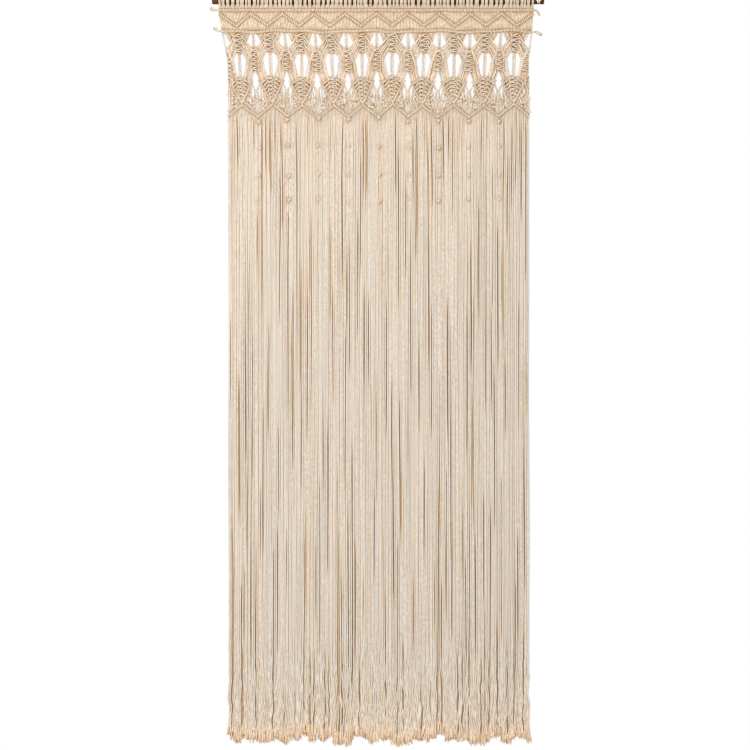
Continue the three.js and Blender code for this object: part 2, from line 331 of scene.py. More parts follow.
def dress(piece: bpy.types.Object, slot: str, *nodes: str) -> bpy.types.Object:
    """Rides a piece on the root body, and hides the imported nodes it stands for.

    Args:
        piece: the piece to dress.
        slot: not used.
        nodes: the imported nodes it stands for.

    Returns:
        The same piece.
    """
    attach(piece, "root")
    if nodes:
        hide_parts(*nodes)
    return piece


# ---------------------------------------------------------------- finishes


Socket = bpy.types.NodeSocket
Value = Socket | float | tuple[float, ...]


class Shading:
    """A new material's nodes, with short ways to add more of them."""

    def __init__(self, name: str) -> None:
        """Starts a material with its shader and its place on the object.

        Args:
            name: the material's name.
        """
        self.material = bpy.data.materials.new(name)
        self.material.use_nodes = True
        self.nodes = self.material.node_tree.nodes
        self.links = self.material.node_tree.links
        self.shader = self.nodes["Principled BSDF"]
        self.place = self.nodes.new("ShaderNodeTexCoord")

    def feed(self, socket: Socket, value: Value) -> None:
        """Joins a socket to another one, or sets it to a constant.

        Args:
            socket: the input to feed.
            value: another node's output, a number or a colour.
        """
        if isinstance(value, Socket):
            self.links.new(value, socket)
        else:
            socket.default_value = value

    def maths(self, operation: str, *values: Value) -> Socket:
        """Adds a maths node.

        Args:
            operation: the node's operation.
            values: its inputs, each a socket or a number.

        Returns:
            The result's socket.
        """
        node = self.nodes.new("ShaderNodeMath")
        node.operation = operation
        for socket, value in zip(node.inputs, values):
            self.feed(socket, value)
        return node.outputs[0]

    def mix(self, factor: Value, first: Value, second: Value, blend: str = "MIX",
            clamp: bool = True) -> Socket:
        """Adds a colour mix node.

        Args:
            factor: the share of the second colour, as a socket or a number.
            first: the first colour, as a socket or four numbers.
            second: the second colour, as a socket or four numbers.
            blend: the way of mixing.
            clamp: whether the share stays between 0 and 1.

        Returns:
            The mixed colour's socket.
        """
        node = self.nodes.new("ShaderNodeMix")
        node.data_type = "RGBA"
        node.blend_type = blend
        node.clamp_factor = clamp
        for index, value in ((0, factor), (6, first), (7, second)):
            self.feed(node.inputs[index], value)
        return node.outputs[2]

    def noise(self, scale: float, detail: float) -> Socket:
        """Adds a noise texture in the object's own space.

        Args:
            scale: how fine the noise is.
            detail: how many finer layers it has.

        Returns:
            The noise's socket, from 0 to 1.
        """
        node = self.nodes.new("ShaderNodeTexNoise")
        node.inputs["Scale"].default_value = scale
        node.inputs["Detail"].default_value = detail
        self.links.new(self.place.outputs["Object"], node.inputs["Vector"])
        return node.outputs[0]

    def painted_shade_amount(self, distance: float, gain: float) -> Socket:
        """Adds nodes for how closed in a place is, 0 out in front and more deep between neighbours: the share
        of painted shade there.

        Args:
            distance: how far the neighbours count, in millimetres.
            gain: how strongly they count.

        Returns:
            The closeness's socket.
        """
        node = self.nodes.new("ShaderNodeAmbientOcclusion")
        node.samples = 4
        node.inputs["Distance"].default_value = distance * MM
        return self.maths("MULTIPLY", self.maths("SUBTRACT", 1.0, node.outputs["AO"]), gain)

    def bump(self, height: Socket, strength: float, depth: float) -> None:
        """Raises the surface by a height.

        Args:
            height: the height's socket, from 0 to 1.
            strength: how much the relief shows.
            depth: the relief's depth, in millimetres.
        """
        node = self.nodes.new("ShaderNodeBump")
        node.inputs["Strength"].default_value = strength
        node.inputs["Distance"].default_value = depth * MM
        self.links.new(height, node.inputs["Height"])
        self.links.new(node.outputs[0], self.shader.inputs["Normal"])


@dataclass(frozen=True)
class CottonFinish:
    """Three-ply cotton cord: two shades of natural cotton, with painted shade in the grooves between the
    plies and in the hollows between cords.
    """

    name: str = "cotton_cord"
    warm: tuple[float, float, float] = (0.74, 0.61, 0.49)
    pale: tuple[float, float, float] = (0.64, 0.606, 0.55)
    # painted shade: the colour that the grooves between the plies take
    groove: tuple[float, float, float] = (0.43, 0.31, 0.19)
    # painted shade: the brown that places closed in by neighbouring cords take
    painted_hollow_shade: tuple[float, float, float] = (0.40, 0.235, 0.08)
    painted_shade_reach: float = 12.0
    painted_shade_gain: float = 1.95
    plies: int = 3
    lay: float = 15.0
    ply_depth: float = 0.34
    fibre_depth: float = 0.16
    speckle: float = 0.9
    # painted shade on the side that faces the front
    painted_front_shade: float = 0.0
    sheen: float = 0.15
    roughness: float = 0.92

    def make(self) -> bpy.types.Material:
        """Builds the material.

        Returns:
            The new material.
        """
        cotton = Shading(self.name)
        cotton.shader.inputs["Roughness"].default_value = self.roughness
        cotton.shader.inputs["Sheen Weight"].default_value = self.sheen
        cotton.shader.inputs["Specular IOR Level"].default_value = 0.25
        ply = self._ply(cotton)
        fibres = cotton.noise(1400.0, 3.0)
        colour = cotton.mix(1.0, self._shade(cotton, ply), self._flecks(cotton, fibres), "MULTIPLY")
        # painted shade between neighbouring cords, by how closed in each place is
        colour = cotton.mix(self._painted_shade_share(cotton), colour, (*self.painted_hollow_shade, 1))
        cotton.links.new(colour, cotton.shader.inputs["Base Color"])
        relief = cotton.maths("MULTIPLY", ply, self.ply_depth)
        relief = cotton.maths("MULTIPLY_ADD", fibres, self.fibre_depth, relief)
        cotton.bump(relief, 1.0, 1.0)
        return cotton.material

    def _ply(self, cotton: Shading) -> Socket:
        """How high each place stands on its ply, which winds along the cord.

        Args:
            cotton: the material's nodes.

        Returns:
            The height's socket, from 0 in a groove to 1.
        """
        lay = cotton.nodes.new("ShaderNodeUVMap")
        lay.uv_map = "lay"
        split = cotton.nodes.new("ShaderNodeSeparateXYZ")
        cotton.links.new(lay.outputs[0], split.inputs[0])
        turns = cotton.maths("MULTIPLY", split.outputs[0], float(self.plies))
        travel = cotton.maths("DIVIDE", split.outputs[1], self.lay / self.plies)
        phase = cotton.maths("MULTIPLY", cotton.maths("SUBTRACT", turns, travel), 2 * math.pi)
        wave = cotton.maths("MULTIPLY_ADD", cotton.maths("SINE", phase), 0.5, 0.5)
        return cotton.maths("POWER", wave, 0.6)

    def _shade(self, cotton: Shading, ply: Socket) -> Socket:
        """The cotton's colour by each cord's tone, with painted shade in the grooves between the plies.

        Args:
            cotton: the material's nodes.
            ply: how high each place stands on its ply.

        Returns:
            The colour's socket.
        """
        tone = cotton.nodes.new("ShaderNodeAttribute")
        tone.attribute_name = "tone"
        share = cotton.maths("MULTIPLY_ADD", cotton.noise(42.0, 2.0), 0.5, -0.25)
        share = cotton.maths("ADD", share, tone.outputs["Fac"])
        colour = cotton.mix(share, (*self.warm, 1), (*self.pale, 1), clamp=False)
        # painted shade: the lower a place stands on its ply, the more groove colour it takes
        depth = cotton.maths("MULTIPLY", cotton.maths("SUBTRACT", 1.0, ply), 0.5)
        return cotton.mix(depth, colour, (*self.groove, 1))

    def _flecks(self, cotton: Shading, fibres: Socket) -> Socket:
        """The small light and dark flecks of the fibres.

        Args:
            cotton: the material's nodes.
            fibres: the noise of the single fibres.

        Returns:
            The grey to multiply the colour by.
        """
        speck = cotton.maths("MULTIPLY_ADD", cotton.noise(260.0, 1.0), self.speckle, 1 - self.speckle / 2)
        flecks = cotton.maths("MULTIPLY", cotton.maths("MULTIPLY_ADD", fibres, 0.24, 0.88), speck)
        tint = cotton.nodes.new("ShaderNodeCombineXYZ")
        for socket in tint.inputs:
            cotton.links.new(flecks, socket)
        return tint.outputs[0]

    def _painted_shade_share(self, cotton: Shading) -> Socket:
        """How much painted shade each place takes, deep between its neighbours.

        Args:
            cotton: the material's nodes.

        Returns:
            The share's socket, with painted shade added on the side that faces the front where the finish
            asks for it.
        """
        closed = cotton.maths("POWER", cotton.painted_shade_amount(self.painted_shade_reach, self.painted_shade_gain), 1.4)
        # painted shade: the side that faces the front takes more of the dark shade colour
        if self.painted_front_shade:
            facing = cotton.nodes.new("ShaderNodeSeparateXYZ")
            cotton.links.new(cotton.place.outputs["Normal"], facing.inputs[0])
            front = cotton.maths("MAXIMUM", cotton.maths("MULTIPLY", facing.outputs[1], -1.0), 0.0)
            closed = cotton.maths("MULTIPLY_ADD", front, self.painted_front_shade, closed)
        return closed


@dataclass(frozen=True)
class WoodFinish:
    """Dark stained wood with long grain and a dull varnish, with painted shade where the loops close it in.
    """

    name: str = "rod_wood"
    # also the colour of the painted shade between the loops
    dark: tuple[float, float, float] = (0.020, 0.004, 0.0004)
    middle: tuple[float, float, float] = (0.090, 0.036, 0.008)
    light: tuple[float, float, float] = (0.22, 0.10, 0.028)

    def make(self) -> bpy.types.Material:
        """Builds the material.

        Returns:
            The new material.
        """
        wood = Shading(self.name)
        wood.shader.inputs["Coat Weight"].default_value = 0.03
        wood.shader.inputs["Coat Roughness"].default_value = 0.4
        wood.shader.inputs["Specular IOR Level"].default_value = 0.06
        grain = self._grain(wood)
        ramp = wood.nodes.new("ShaderNodeValToRGB")
        ramp.color_ramp.elements[0].position = 0.34
        ramp.color_ramp.elements[0].color = (*self.dark, 1)
        ramp.color_ramp.elements[1].position = 0.72
        ramp.color_ramp.elements[1].color = (*self.light, 1)
        ramp.color_ramp.elements.new(0.52).color = (*self.middle, 1)
        wood.links.new(grain, ramp.inputs[0])
        # painted shade: darkest grain colour where the loops close the rod in
        colour = wood.mix(wood.painted_shade_amount(12.0, 2.6), ramp.outputs[0], (*self.dark, 1))
        wood.links.new(colour, wood.shader.inputs["Base Color"])
        wood.links.new(wood.maths("MULTIPLY_ADD", grain, -0.25, 0.58), wood.shader.inputs["Roughness"])
        wood.bump(grain, 0.5, 0.3)
        return wood.material

    def _grain(self, wood: Shading) -> Socket:
        """Noise drawn out along the rod.

        Args:
            wood: the material's nodes.

        Returns:
            The grain's socket, from 0 to 1.
        """
        stretch = wood.nodes.new("ShaderNodeMapping")
        stretch.inputs["Scale"].default_value = (5.0, 150.0, 150.0)
        wood.links.new(wood.place.outputs["Object"], stretch.inputs["Vector"])
        grain = wood.nodes.new("ShaderNodeTexNoise")
        grain.inputs["Scale"].default_value = 1.0
        grain.inputs["Detail"].default_value = 7.0
        grain.inputs["Roughness"].default_value = 0.62
        grain.inputs["Distortion"].default_value = 0.7
        wood.links.new(stretch.outputs[0], grain.inputs["Vector"])
        return grain.outputs[0]


def tones(rng: np.random.Generator, middle: float, count: int, spread: float = 0.16) -> Array:
    """Draws one tone for each of several cords, about a middle one."""
    return rng.normal(middle, spread, (count, 1))


# ---------------------------------------------------------------- knots and ridges


def knot_path(size: float, steps: int = 26) -> Array:
    """The closed-looking run of a small overhand knot about the origin, facing the front.

    Args:
        size: the knot's width between the cord's middle lines.
        steps: the points along it.

    Returns:
        One path, shaped (steps + 1, 3).
    """
    t = np.linspace(0, 2 * np.pi, steps + 1)
    flat_x = np.sin(t) + 2 * np.sin(2 * t)
    flat_z = np.cos(t) - 2 * np.cos(2 * t)
    return points_of(flat_x, -np.sin(3 * t) * 0.9, flat_z * 1.1) * size / 5.2


def hitch_paths(along: Array, direction: Array, reach: float, depth: float, steps: int = 9) -> Array:
    """The hitches that make a ridge: half rings over the front of it.

    Args:
        along: the middle of each hitch, shaped (hitches, 3).
        direction: the way each hitch stands in the panel's plane, shaped (hitches, 3).
        reach: the half height of a hitch.
        depth: how far its middle line stands in front.
        steps: the pieces of each hitch.

    Returns:
        The paths, shaped (hitches, steps + 1, 3).
    """
    angle = np.linspace(-0.62 * np.pi, 0.62 * np.pi, steps + 1)
    up = np.sin(angle)[None, :, None] * reach * direction[:, None]
    front = np.cos(angle)[None, :, None] * np.array((0.0, -depth, 0.0))
    return along[:, None] + up + front


def ridge(cords: Cords, line: Array, z: Array, hitches_per_cord: int, radius: float,
          half_width: float, rng: np.random.Generator, y: float = 0.0, lean: float = 0.5,
          tone: float = 0.42) -> None:
    """Adds a hitched ridge along a run of points in the panel's plane.

    Args:
        cords: where the hitches and the core go.
        line: the x of the run's points.
        z: the z of the run's points.
        hitches_per_cord: hitches between two neighbouring points.
        radius: the radius of the hitches' cord.
        half_width: half of the ridge's width across its run.
        rng: the source of unevenness.
        y: the depth of the ridge's middle.
        lean: how far the hitches stand upright, from 0 across the ridge to 1 upright.
        tone: the middle tone of the hitches.
    """
    run = points_of(line, y, z)
    count = (len(run) - 1) * hitches_per_cord + 1
    at = np.linspace(0, len(run) - 1, count)
    middle = np.stack([np.interp(at, np.arange(len(run)), run[:, i]) for i in range(3)], axis=1)
    way = np.gradient(middle, axis=0)
    way /= np.linalg.norm(way, axis=1, keepdims=True)
    across = np.stack([-way[:, 2], np.zeros(count), way[:, 0]], axis=1)
    across *= np.sign(across[:, 2:] + 1e-9)
    stand = across * (1 - lean) + np.array((0.0, 0.0, lean))
    stand /= np.linalg.norm(stand, axis=1, keepdims=True)
    middle += rng.normal(0, 0.18, middle.shape)
    paths = hitch_paths(middle, stand, half_width - radius * 0.6, 2.7)
    paths[:, :, 0] += np.linspace(0.5, -0.5, paths.shape[1])
    cords.add(paths, radius * rng.uniform(0.94, 1.06, (count, 1)), tones(rng, tone, count))
    core = smooth_path(run[None], 2)
    cords.add(core, half_width * 0.55, 0.2)


@dataclass(frozen=True)
class KnotColumn:
    """A column of square knots: one cord that winds across the front, and loops at the sides.

    It has its top and foot, half its width at each of them, and the height of one bar.
    """

    top: float
    foot: float
    wide: float
    narrow: float
    bar: float

    def half_width(self, z: Array) -> Array:
        """Half the column's width at height z."""
        share = np.clip((z - self.foot) / (self.top - self.foot), 0, 1)
        return self.narrow + (self.wide - self.narrow) * share**0.7

    def tie(self, cords: Cords, x: Callable[[Array], Array], rng: np.random.Generator) -> None:
        """Ties the column.

        Args:
            cords: where the column goes.
            x: the middle of the column at each height.
            rng: the source of unevenness.
        """
        count = max(2, round((self.top - self.foot) / self.bar))
        pitch = (self.top - self.foot) / count
        turn = np.arange(count)
        level = self.top - (turn + 0.5) * pitch + np.where(turn % 2, 0.1, -0.1) * pitch
        way = np.where(turn % 2, 1.0, -1.0)[:, None]
        across = np.array([-0.86, -0.55, -0.18, 0.22, 0.60, 0.88])
        front = np.array([-0.3, -2.7, -3.9, -3.8, -2.9, -0.6])
        fall = np.array([0.34, 0.30, 0.10, -0.08, -0.26, -0.22]) * pitch
        z = level[:, None] + fall + rng.normal(0, 0.22, (count, 6))
        wide = self.half_width(z) * rng.uniform(0.93, 1.05, (count, 1))
        bars = points_of(x(z) + way * across * wide, front + rng.normal(0, 0.15, (count, 6)), z)
        run = smooth_path(bars.reshape(1, -1, 3), 2)
        cords.add(run, CORD_RADIUS, rng.normal(0.45, 0.16))

        heights = np.linspace(self.top + 1.5, self.foot - 1.5, 7)
        for place in (-0.8, -0.3, 0.3, 0.8):
            filler = points_of(x(heights) + place * self.half_width(heights), 3.4, heights)
            cords.add(filler[None], CORD_RADIUS, rng.normal(0.4, 0.1))

        out = np.array([0.35, 0.88, 1.06, 1.0, 0.42])
        drop = np.array([1.0, 0.72, 0.05, -0.50, -0.72]) * pitch
        z = level[:, None] - 0.25 * pitch + drop + rng.normal(0, 0.2, (count, 5))
        depth = np.array([1.4, -1.4, -3.6, -2.8, 0.6])
        ears = points_of(x(z) + way * out * wide[:, :1], depth, z)
        cords.add(smooth_path(ears, 2), CORD_RADIUS, tones(rng, 0.45, count))


# ---------------------------------------------------------------- the pieces


@dataclass
class Rod:
    """The wooden rod: a smooth turned dowel with eased ends and a drilled hole."""

    finish: bpy.types.Material
    sides: int = 56
    easing: float = 2.5
    unevenness: float = 0.12
    hole_radius: float = 2.8
    hole_inset: float = 15.5

    def build(self) -> bpy.types.Object:
        """Builds the rod's mesh from its packed box, and drills it.

        Returns:
            The dressed rod.
        """
        low, high = (np.array(corner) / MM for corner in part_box("rod"))
        radius = (high[2] - low[2]) / 2
        rng = np.random.default_rng(SEED)
        ease = np.array([0.0, 0.12, 0.4, 1.0])
        drop = np.array([1.0, 0.55, 0.18, 0.0])
        body = np.linspace(low[0] + 4, high[0] - 4, 90)
        x = np.concatenate([low[0] + ease * self.easing, body, high[0] - ease[::-1] * self.easing])
        reach = np.full(len(x), radius)
        reach[:4] -= drop * self.easing
        reach[-4:] -= drop[::-1] * self.easing
        reach[4:-4] -= rng.uniform(0, self.unevenness, len(body))
        cords = Cords(self.sides)
        cords.add(points_of(x, 0.0, 0.0)[None], reach[None])
        rod = cords.build("rod_turned", self.finish)
        self._drill(rod, (high[0] - self.hole_inset) * MM)
        return dress(rod, "rod_wood", "rod")

    def _drill(self, rod: bpy.types.Object, x_m: float) -> None:
        """Cuts the hole for the hanging cord, from front to back.

        Args:
            rod: the rod to cut.
            x_m: where the hole is along the rod, in metres.
        """
        drill_cords = Cords(20)
        drill_cords.add(points_of(x_m / MM, np.linspace(-20, 20, 3), 0.0)[None], self.hole_radius)
        drill = drill_cords.build("drill", self.finish)
        cut = rod.modifiers.new("hole", "BOOLEAN")
        cut.object = drill
        cut.solver = "EXACT"
        bpy.context.view_layer.update()
        shaped = rod.evaluated_get(bpy.context.evaluated_depsgraph_get())
        mesh = bpy.data.meshes.new_from_object(shaped)
        rod.modifiers.clear()
        rod.data = mesh
        bpy.data.objects.remove(drill)


@dataclass
class StopperKnot:
    """The knot that keeps the hanging cord from slipping back through the rod."""

    finish: bpy.types.Material
    cord_radius: float = 2.5
    shank_radius: float = 2.3

    def build(self) -> bpy.types.Object:
        """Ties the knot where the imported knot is, with its shank in the hole.

        Returns:
            The dressed knot.
        """
        low, high = (np.array(corner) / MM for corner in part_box("stopper_knot"))
        x = (low[0] + high[0]) / 2
        width = high[0] - low[0]
        _, rod_high = (np.array(corner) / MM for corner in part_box("rod"))
        front = low[1] + 6.0
        z = low[2] + width / 2
        cords = Cords(10)
        loop = knot_path(width - 2 * self.cord_radius, 60) + np.array((x, front, z))
        cords.add(loop[None], self.cord_radius, 0.8)
        ball = points_of(x, np.linspace(front - 2.6, front + 3.0, 7), z)
        cords.add(ball[None], np.array([[1.0, 3.2, 4.2, 4.6, 4.2, 3.2, 1.4]]), 0.7)
        shank = points_of(x, np.linspace(front, rod_high[1] - 0.3, 6), 0.0)
        cords.add(shank[None], self.shank_radius, 0.6)
        tail = points_of(x + np.array([0.5, 1.6, 2.2]), front - 0.5, z - np.array([5.0, 7.2, 8.8]))
        cords.add(smooth_path(tail[None], 3), 1.5, 0.7)
        return dress(cords.build("stopper_knot_tied", self.finish), "cotton_cord", "stopper_knot")


@dataclass
class MountingLoops:
    """The reverse lark's heads: each cord goes over the rod and down behind its own bight."""

    finish: bpy.types.Material
    strand_radius: float = 1.5
    wrap: float = 12.7
    leg_foot: float = -26.5
    bight_depth: float = 7.4
    bight_z: float = -13.9
    bight_radius: float = 4.2
    gaps: tuple[float, ...] = (5.0, 4.0, 3.1, 2.3, 1.5, 0.8, 0.3)
    bunches: tuple[int, ...] = (2, 3, 3, 3, 4)
    pinch: float = 0.7

    def _places(self, rng: np.random.Generator) -> tuple[Array, Array]:
        """The places of the strands on the rod, in bunches with gaps between, and each one's pull.

        Args:
            rng: the source of the bunches' sizes and gaps.

        Returns:
            The x of each strand, and how far it leans into its bunch under the rod.
        """
        left, right = PATTERN.line_x(0, -6.0), PATTERN.line_x(REPEATS, -6.0)
        sizes = rng.choice(self.bunches, CORDS)
        ends = np.cumsum(sizes)
        bunch = np.searchsorted(ends, np.arange(CORDS), side="right")
        inside = np.arange(CORDS) - (ends - sizes)[bunch]
        pull = self.pinch * ((sizes[bunch] - 1) / 2 - inside)
        drawn = np.concatenate([rng.permutation(self.gaps) for _ in range(CORDS // len(self.gaps) + 1)])
        after = np.where(inside == sizes[bunch] - 1, drawn[bunch], 0.0)
        after[-1] = 0.0
        wide = (right - left - after.sum()) / CORDS
        return left + np.cumsum(wide + after) - after - wide / 2, pull

    def build(self) -> bpy.types.Object:
        """Winds all the loops over the rod.

        Returns:
            The dressed loops.
        """
        rng = np.random.default_rng(SEED + 1)
        x, pull = self._places(rng)
        count = CORDS // 2
        strand, pull = x.reshape(count, 2), pull.reshape(count, 2)
        tone = tones(rng, 0.5, count)
        down = np.radians(np.linspace(150, -118, 24))
        splay = np.interp(down, np.radians((-118, -40)), (1.0, 0.0))
        sink = np.interp(down, np.radians((60, 140)), (0.0, 1.0))
        cords = Cords()
        for side in (0, 1):
            cord = 2 * np.arange(count) + side
            foot = PATTERN.line_x((cord + 0.5) / CORDS_PER_REPEAT, self.leg_foot)
            place = strand[:, side]
            drawn_in = place + pull[:, side]
            lean = rng.normal(0, 0.25, count)[:, None]
            over_x = place[:, None] + (2 * side - 1) * splay + lean * np.cos(down) + pull[:, [side]] * sink
            over = points_of(over_x, -self.wrap * np.sin(down), self.wrap * np.cos(down))
            legs = np.stack([
                points_of(foot, 0.4, self.leg_foot),
                points_of(foot, -0.8, self.leg_foot + 4.5),
                points_of(foot * 0.85 + drawn_in * 0.15, -2.8, -18.4),
                points_of(foot * 0.4 + drawn_in * 0.6, -4.6, -14.8),
            ], axis=1)
            radius = np.full(28, self.strand_radius)
            radius[:4] = (2.05, 2.15, 2.1, 1.8)
            run = np.concatenate([legs, over], axis=1)
            cords.add(run, radius * rng.uniform(0.96, 1.04, (count, 1)), tone)
        between = (strand[:-1, 1] + strand[1:, 0]) / 2
        low = np.concatenate([[strand[0, 0] - 1.4], between])[:, None] - 0.8
        high = np.concatenate([between, [strand[-1, 1] + 1.4]])[:, None] + 0.8
        bight = points_of(
            low + (high - low) * np.linspace(0, 1, 5)[None],
            self.bight_depth + 0.8 * (-1.0) ** np.arange(count)[:, None],
            self.bight_z + rng.normal(0, 0.2, (count, 1)),
        )
        cords.add(bight, self.bight_radius * np.array([[0.8, 1.0, 1.0, 1.0, 0.8]]), tone)
        return dress(cords.build("loops_over_rod", self.finish), "cotton_cord", "loop_row")


@dataclass
class HoldingCord:
    """A cord laid across the panel, covered by a close row of hitches, with a frayed tuft at each end.

    The rises are the slopes of its two ends, and `waves` is how far it strays from straight.
    """

    finish: bpy.types.Material
    node: str
    left_rise: float
    right_rise: float
    waves: float
    seed: int
    hitch_radius: float = 1.85
    reach: float = 4.1
    core_radius: float = 2.5
    front: float = -1.4
    tuft_length: float = 17.0

    def build(self) -> bpy.types.Object:
        """Lays the cord, its hitches and its tufts.

        Returns:
            The dressed holding cord.
        """
        rng = np.random.default_rng(SEED + self.seed)
        low, high = (np.array(corner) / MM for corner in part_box(self.node))
        z = self._level(low, high)
        left, right = PATTERN.edge_x(Side.LEFT, z), PATTERN.edge_x(Side.RIGHT, z)
        cords = Cords()
        at = (np.arange(CORDS) + 0.5) / CORDS_PER_REPEAT
        x = PATTERN.line_x(at, z)
        middle = points_of(x, self.front, z + self._wave(x))
        stand = np.tile((0.10, 0.0, 1.0), (CORDS, 1))
        hitches = hitch_paths(middle + rng.normal(0, 0.14, middle.shape), stand, self.reach - 1.0, 2.9)
        cords.add(hitches, self.hitch_radius, tones(rng, 0.3, CORDS))
        core_x = np.linspace(left - 7, right + 7, 120)
        core = points_of(core_x, self.front, z + self._wave(core_x))
        cords.add(core[None], self.core_radius, 0.4)
        self._tuft(cords, core[0], self.left_rise, Side.LEFT, rng)
        self._tuft(cords, core[-1], self.right_rise, Side.RIGHT, rng)
        return dress(cords.build(self.node + "_hitched", self.finish), "cotton_cord", self.node)

    def _level(self, low: Array, high: Array) -> float:
        """The height of the straight stretch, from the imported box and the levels."""
        levels = [level.value[0] for level in (Level.HEADING, Level.LOWER_CORD)]
        return min(levels, key=lambda z: abs(z - (low[2] + high[2]) / 2))

    def _wave(self, x: Array) -> Array:
        """How far the cord strays from straight at each x."""
        return self.waves * (np.sin(x / 31.0 + self.seed) * 0.6 + np.sin(x / 14.5 + 2) * 0.4)

    def _tuft(self, cords: Cords, end: Array, rise: float, side: Side, rng: np.random.Generator) -> None:
        """Frays one end of the cord into a small drooping brush of yarns.

        Args:
            cords: collects the yarns.
            end: where the cord ends.
            rise: how steeply the cord runs there.
            side: which end it is.
            rng: draws the unevenness.
        """
        count = 44
        length = self.tuft_length * rng.uniform(0.7, 1.0, (count, 1))
        share = np.array([0.0, 0.25, 0.5, 0.75, 1.0])[None]
        bulge = np.array([1.2, 3.2, 4.5, 4.4, 3.2])[None]
        turn = rng.uniform(0, 2 * np.pi, (count, 1))
        place = np.sqrt(rng.uniform(0, 1, (count, 1))) * bulge
        droop = 0.1 * length * share**2
        along = share * length
        x = end[0] + side.value * (along * math.cos(rise)) + rng.normal(0, 0.3, (count, 5))
        y = end[1] + place * np.cos(turn)
        z = end[2] + along * math.sin(rise) - droop + place * np.sin(turn)
        thin = np.linspace(1.5, 0.9, 9)[None] * rng.uniform(0.8, 1.15, (count, 1))
        cords.add(smooth_path(points_of(x, y, z), 2), thin, tones(rng, 0.6, count))


@dataclass
class Heading:
    """The close upright cords between the two holding cords, and the zigzag ridge over them."""

    finish: bpy.types.Material
    radius: float = 2.2
    ridge_radius: float = 2.0
    ridge_half_width: float = 4.5

    def add_cords(self, cords: Cords) -> None:
        """Adds the upright cords to the panel.

        Args:
            cords: collects the cords.
        """
        rng = np.random.default_rng(SEED + 5)
        at = (np.arange(CORDS) + 0.5) / CORDS_PER_REPEAT
        ridge_z = HEADING_ZIGZAG.height(at)[:, None]
        z = ridge_z + np.array((0.0, 6.5, 4.0, 0.0, -4.0, -6.5, 0.0))[None]
        z[:, 0], z[:, -1] = -26.0, -84.0
        x = PATTERN.line_x(at[:, None], z)
        x = x + np.cumsum(rng.normal(0, 0.07, x.shape), axis=1)
        y = rng.normal(0, 0.3, (CORDS, 1)) + np.array((0.0, 0.0, 1.5, 2.0, 1.5, 0.0, 0.0))
        cords.add(smooth_path(points_of(x, y, z), 2), self.radius, tones(rng, 0.35, CORDS, 0.15))

    def build_ridge(self) -> bpy.types.Object:
        """Builds the zigzag ridge.

        Returns:
            The dressed ridge.
        """
        rng = np.random.default_rng(SEED + 6)
        cords = Cords()
        for start in np.arange(0, REPEATS, 0.5):
            at = np.linspace(start, start + 0.5, CORDS_PER_REPEAT // 2 + 1)
            z = HEADING_ZIGZAG.height(at)
            ridge(cords, PATTERN.line_x(at, z), z, 1, self.ridge_radius, self.ridge_half_width, rng,
                  -1.9, 0.5, 0.3)
        return dress(cords.build("heading_zigzag", self.finish), "cotton_cord")


@dataclass(frozen=True)
class Waypoint:
    """A place that the cords of a group pass: distance from the half line, height and depth.

    A cord's rank n moves the place by each slope times n. Where cords are paired, every second one
    lies close behind the one above it.
    """

    reach: float
    z: float
    y: float
    reach_slope: float = 0.0
    z_slope: float = 0.0
    paired: float = 0.0


INTO_FIRST_LEAF = (
    Waypoint(5.4, -84, 0.3, 3.5, 0),
    Waypoint(5.2, -86.5, 2.0, 2.8, -1.35),
    Waypoint(5.6, -88, 3.0, 1.5, -3.5),
    Waypoint(5.8, -91.5, 3.0, 0.35, -5.3),
    Waypoint(8.0, -93.5, -0.6, 0.0, -5.6, 0.8),
)


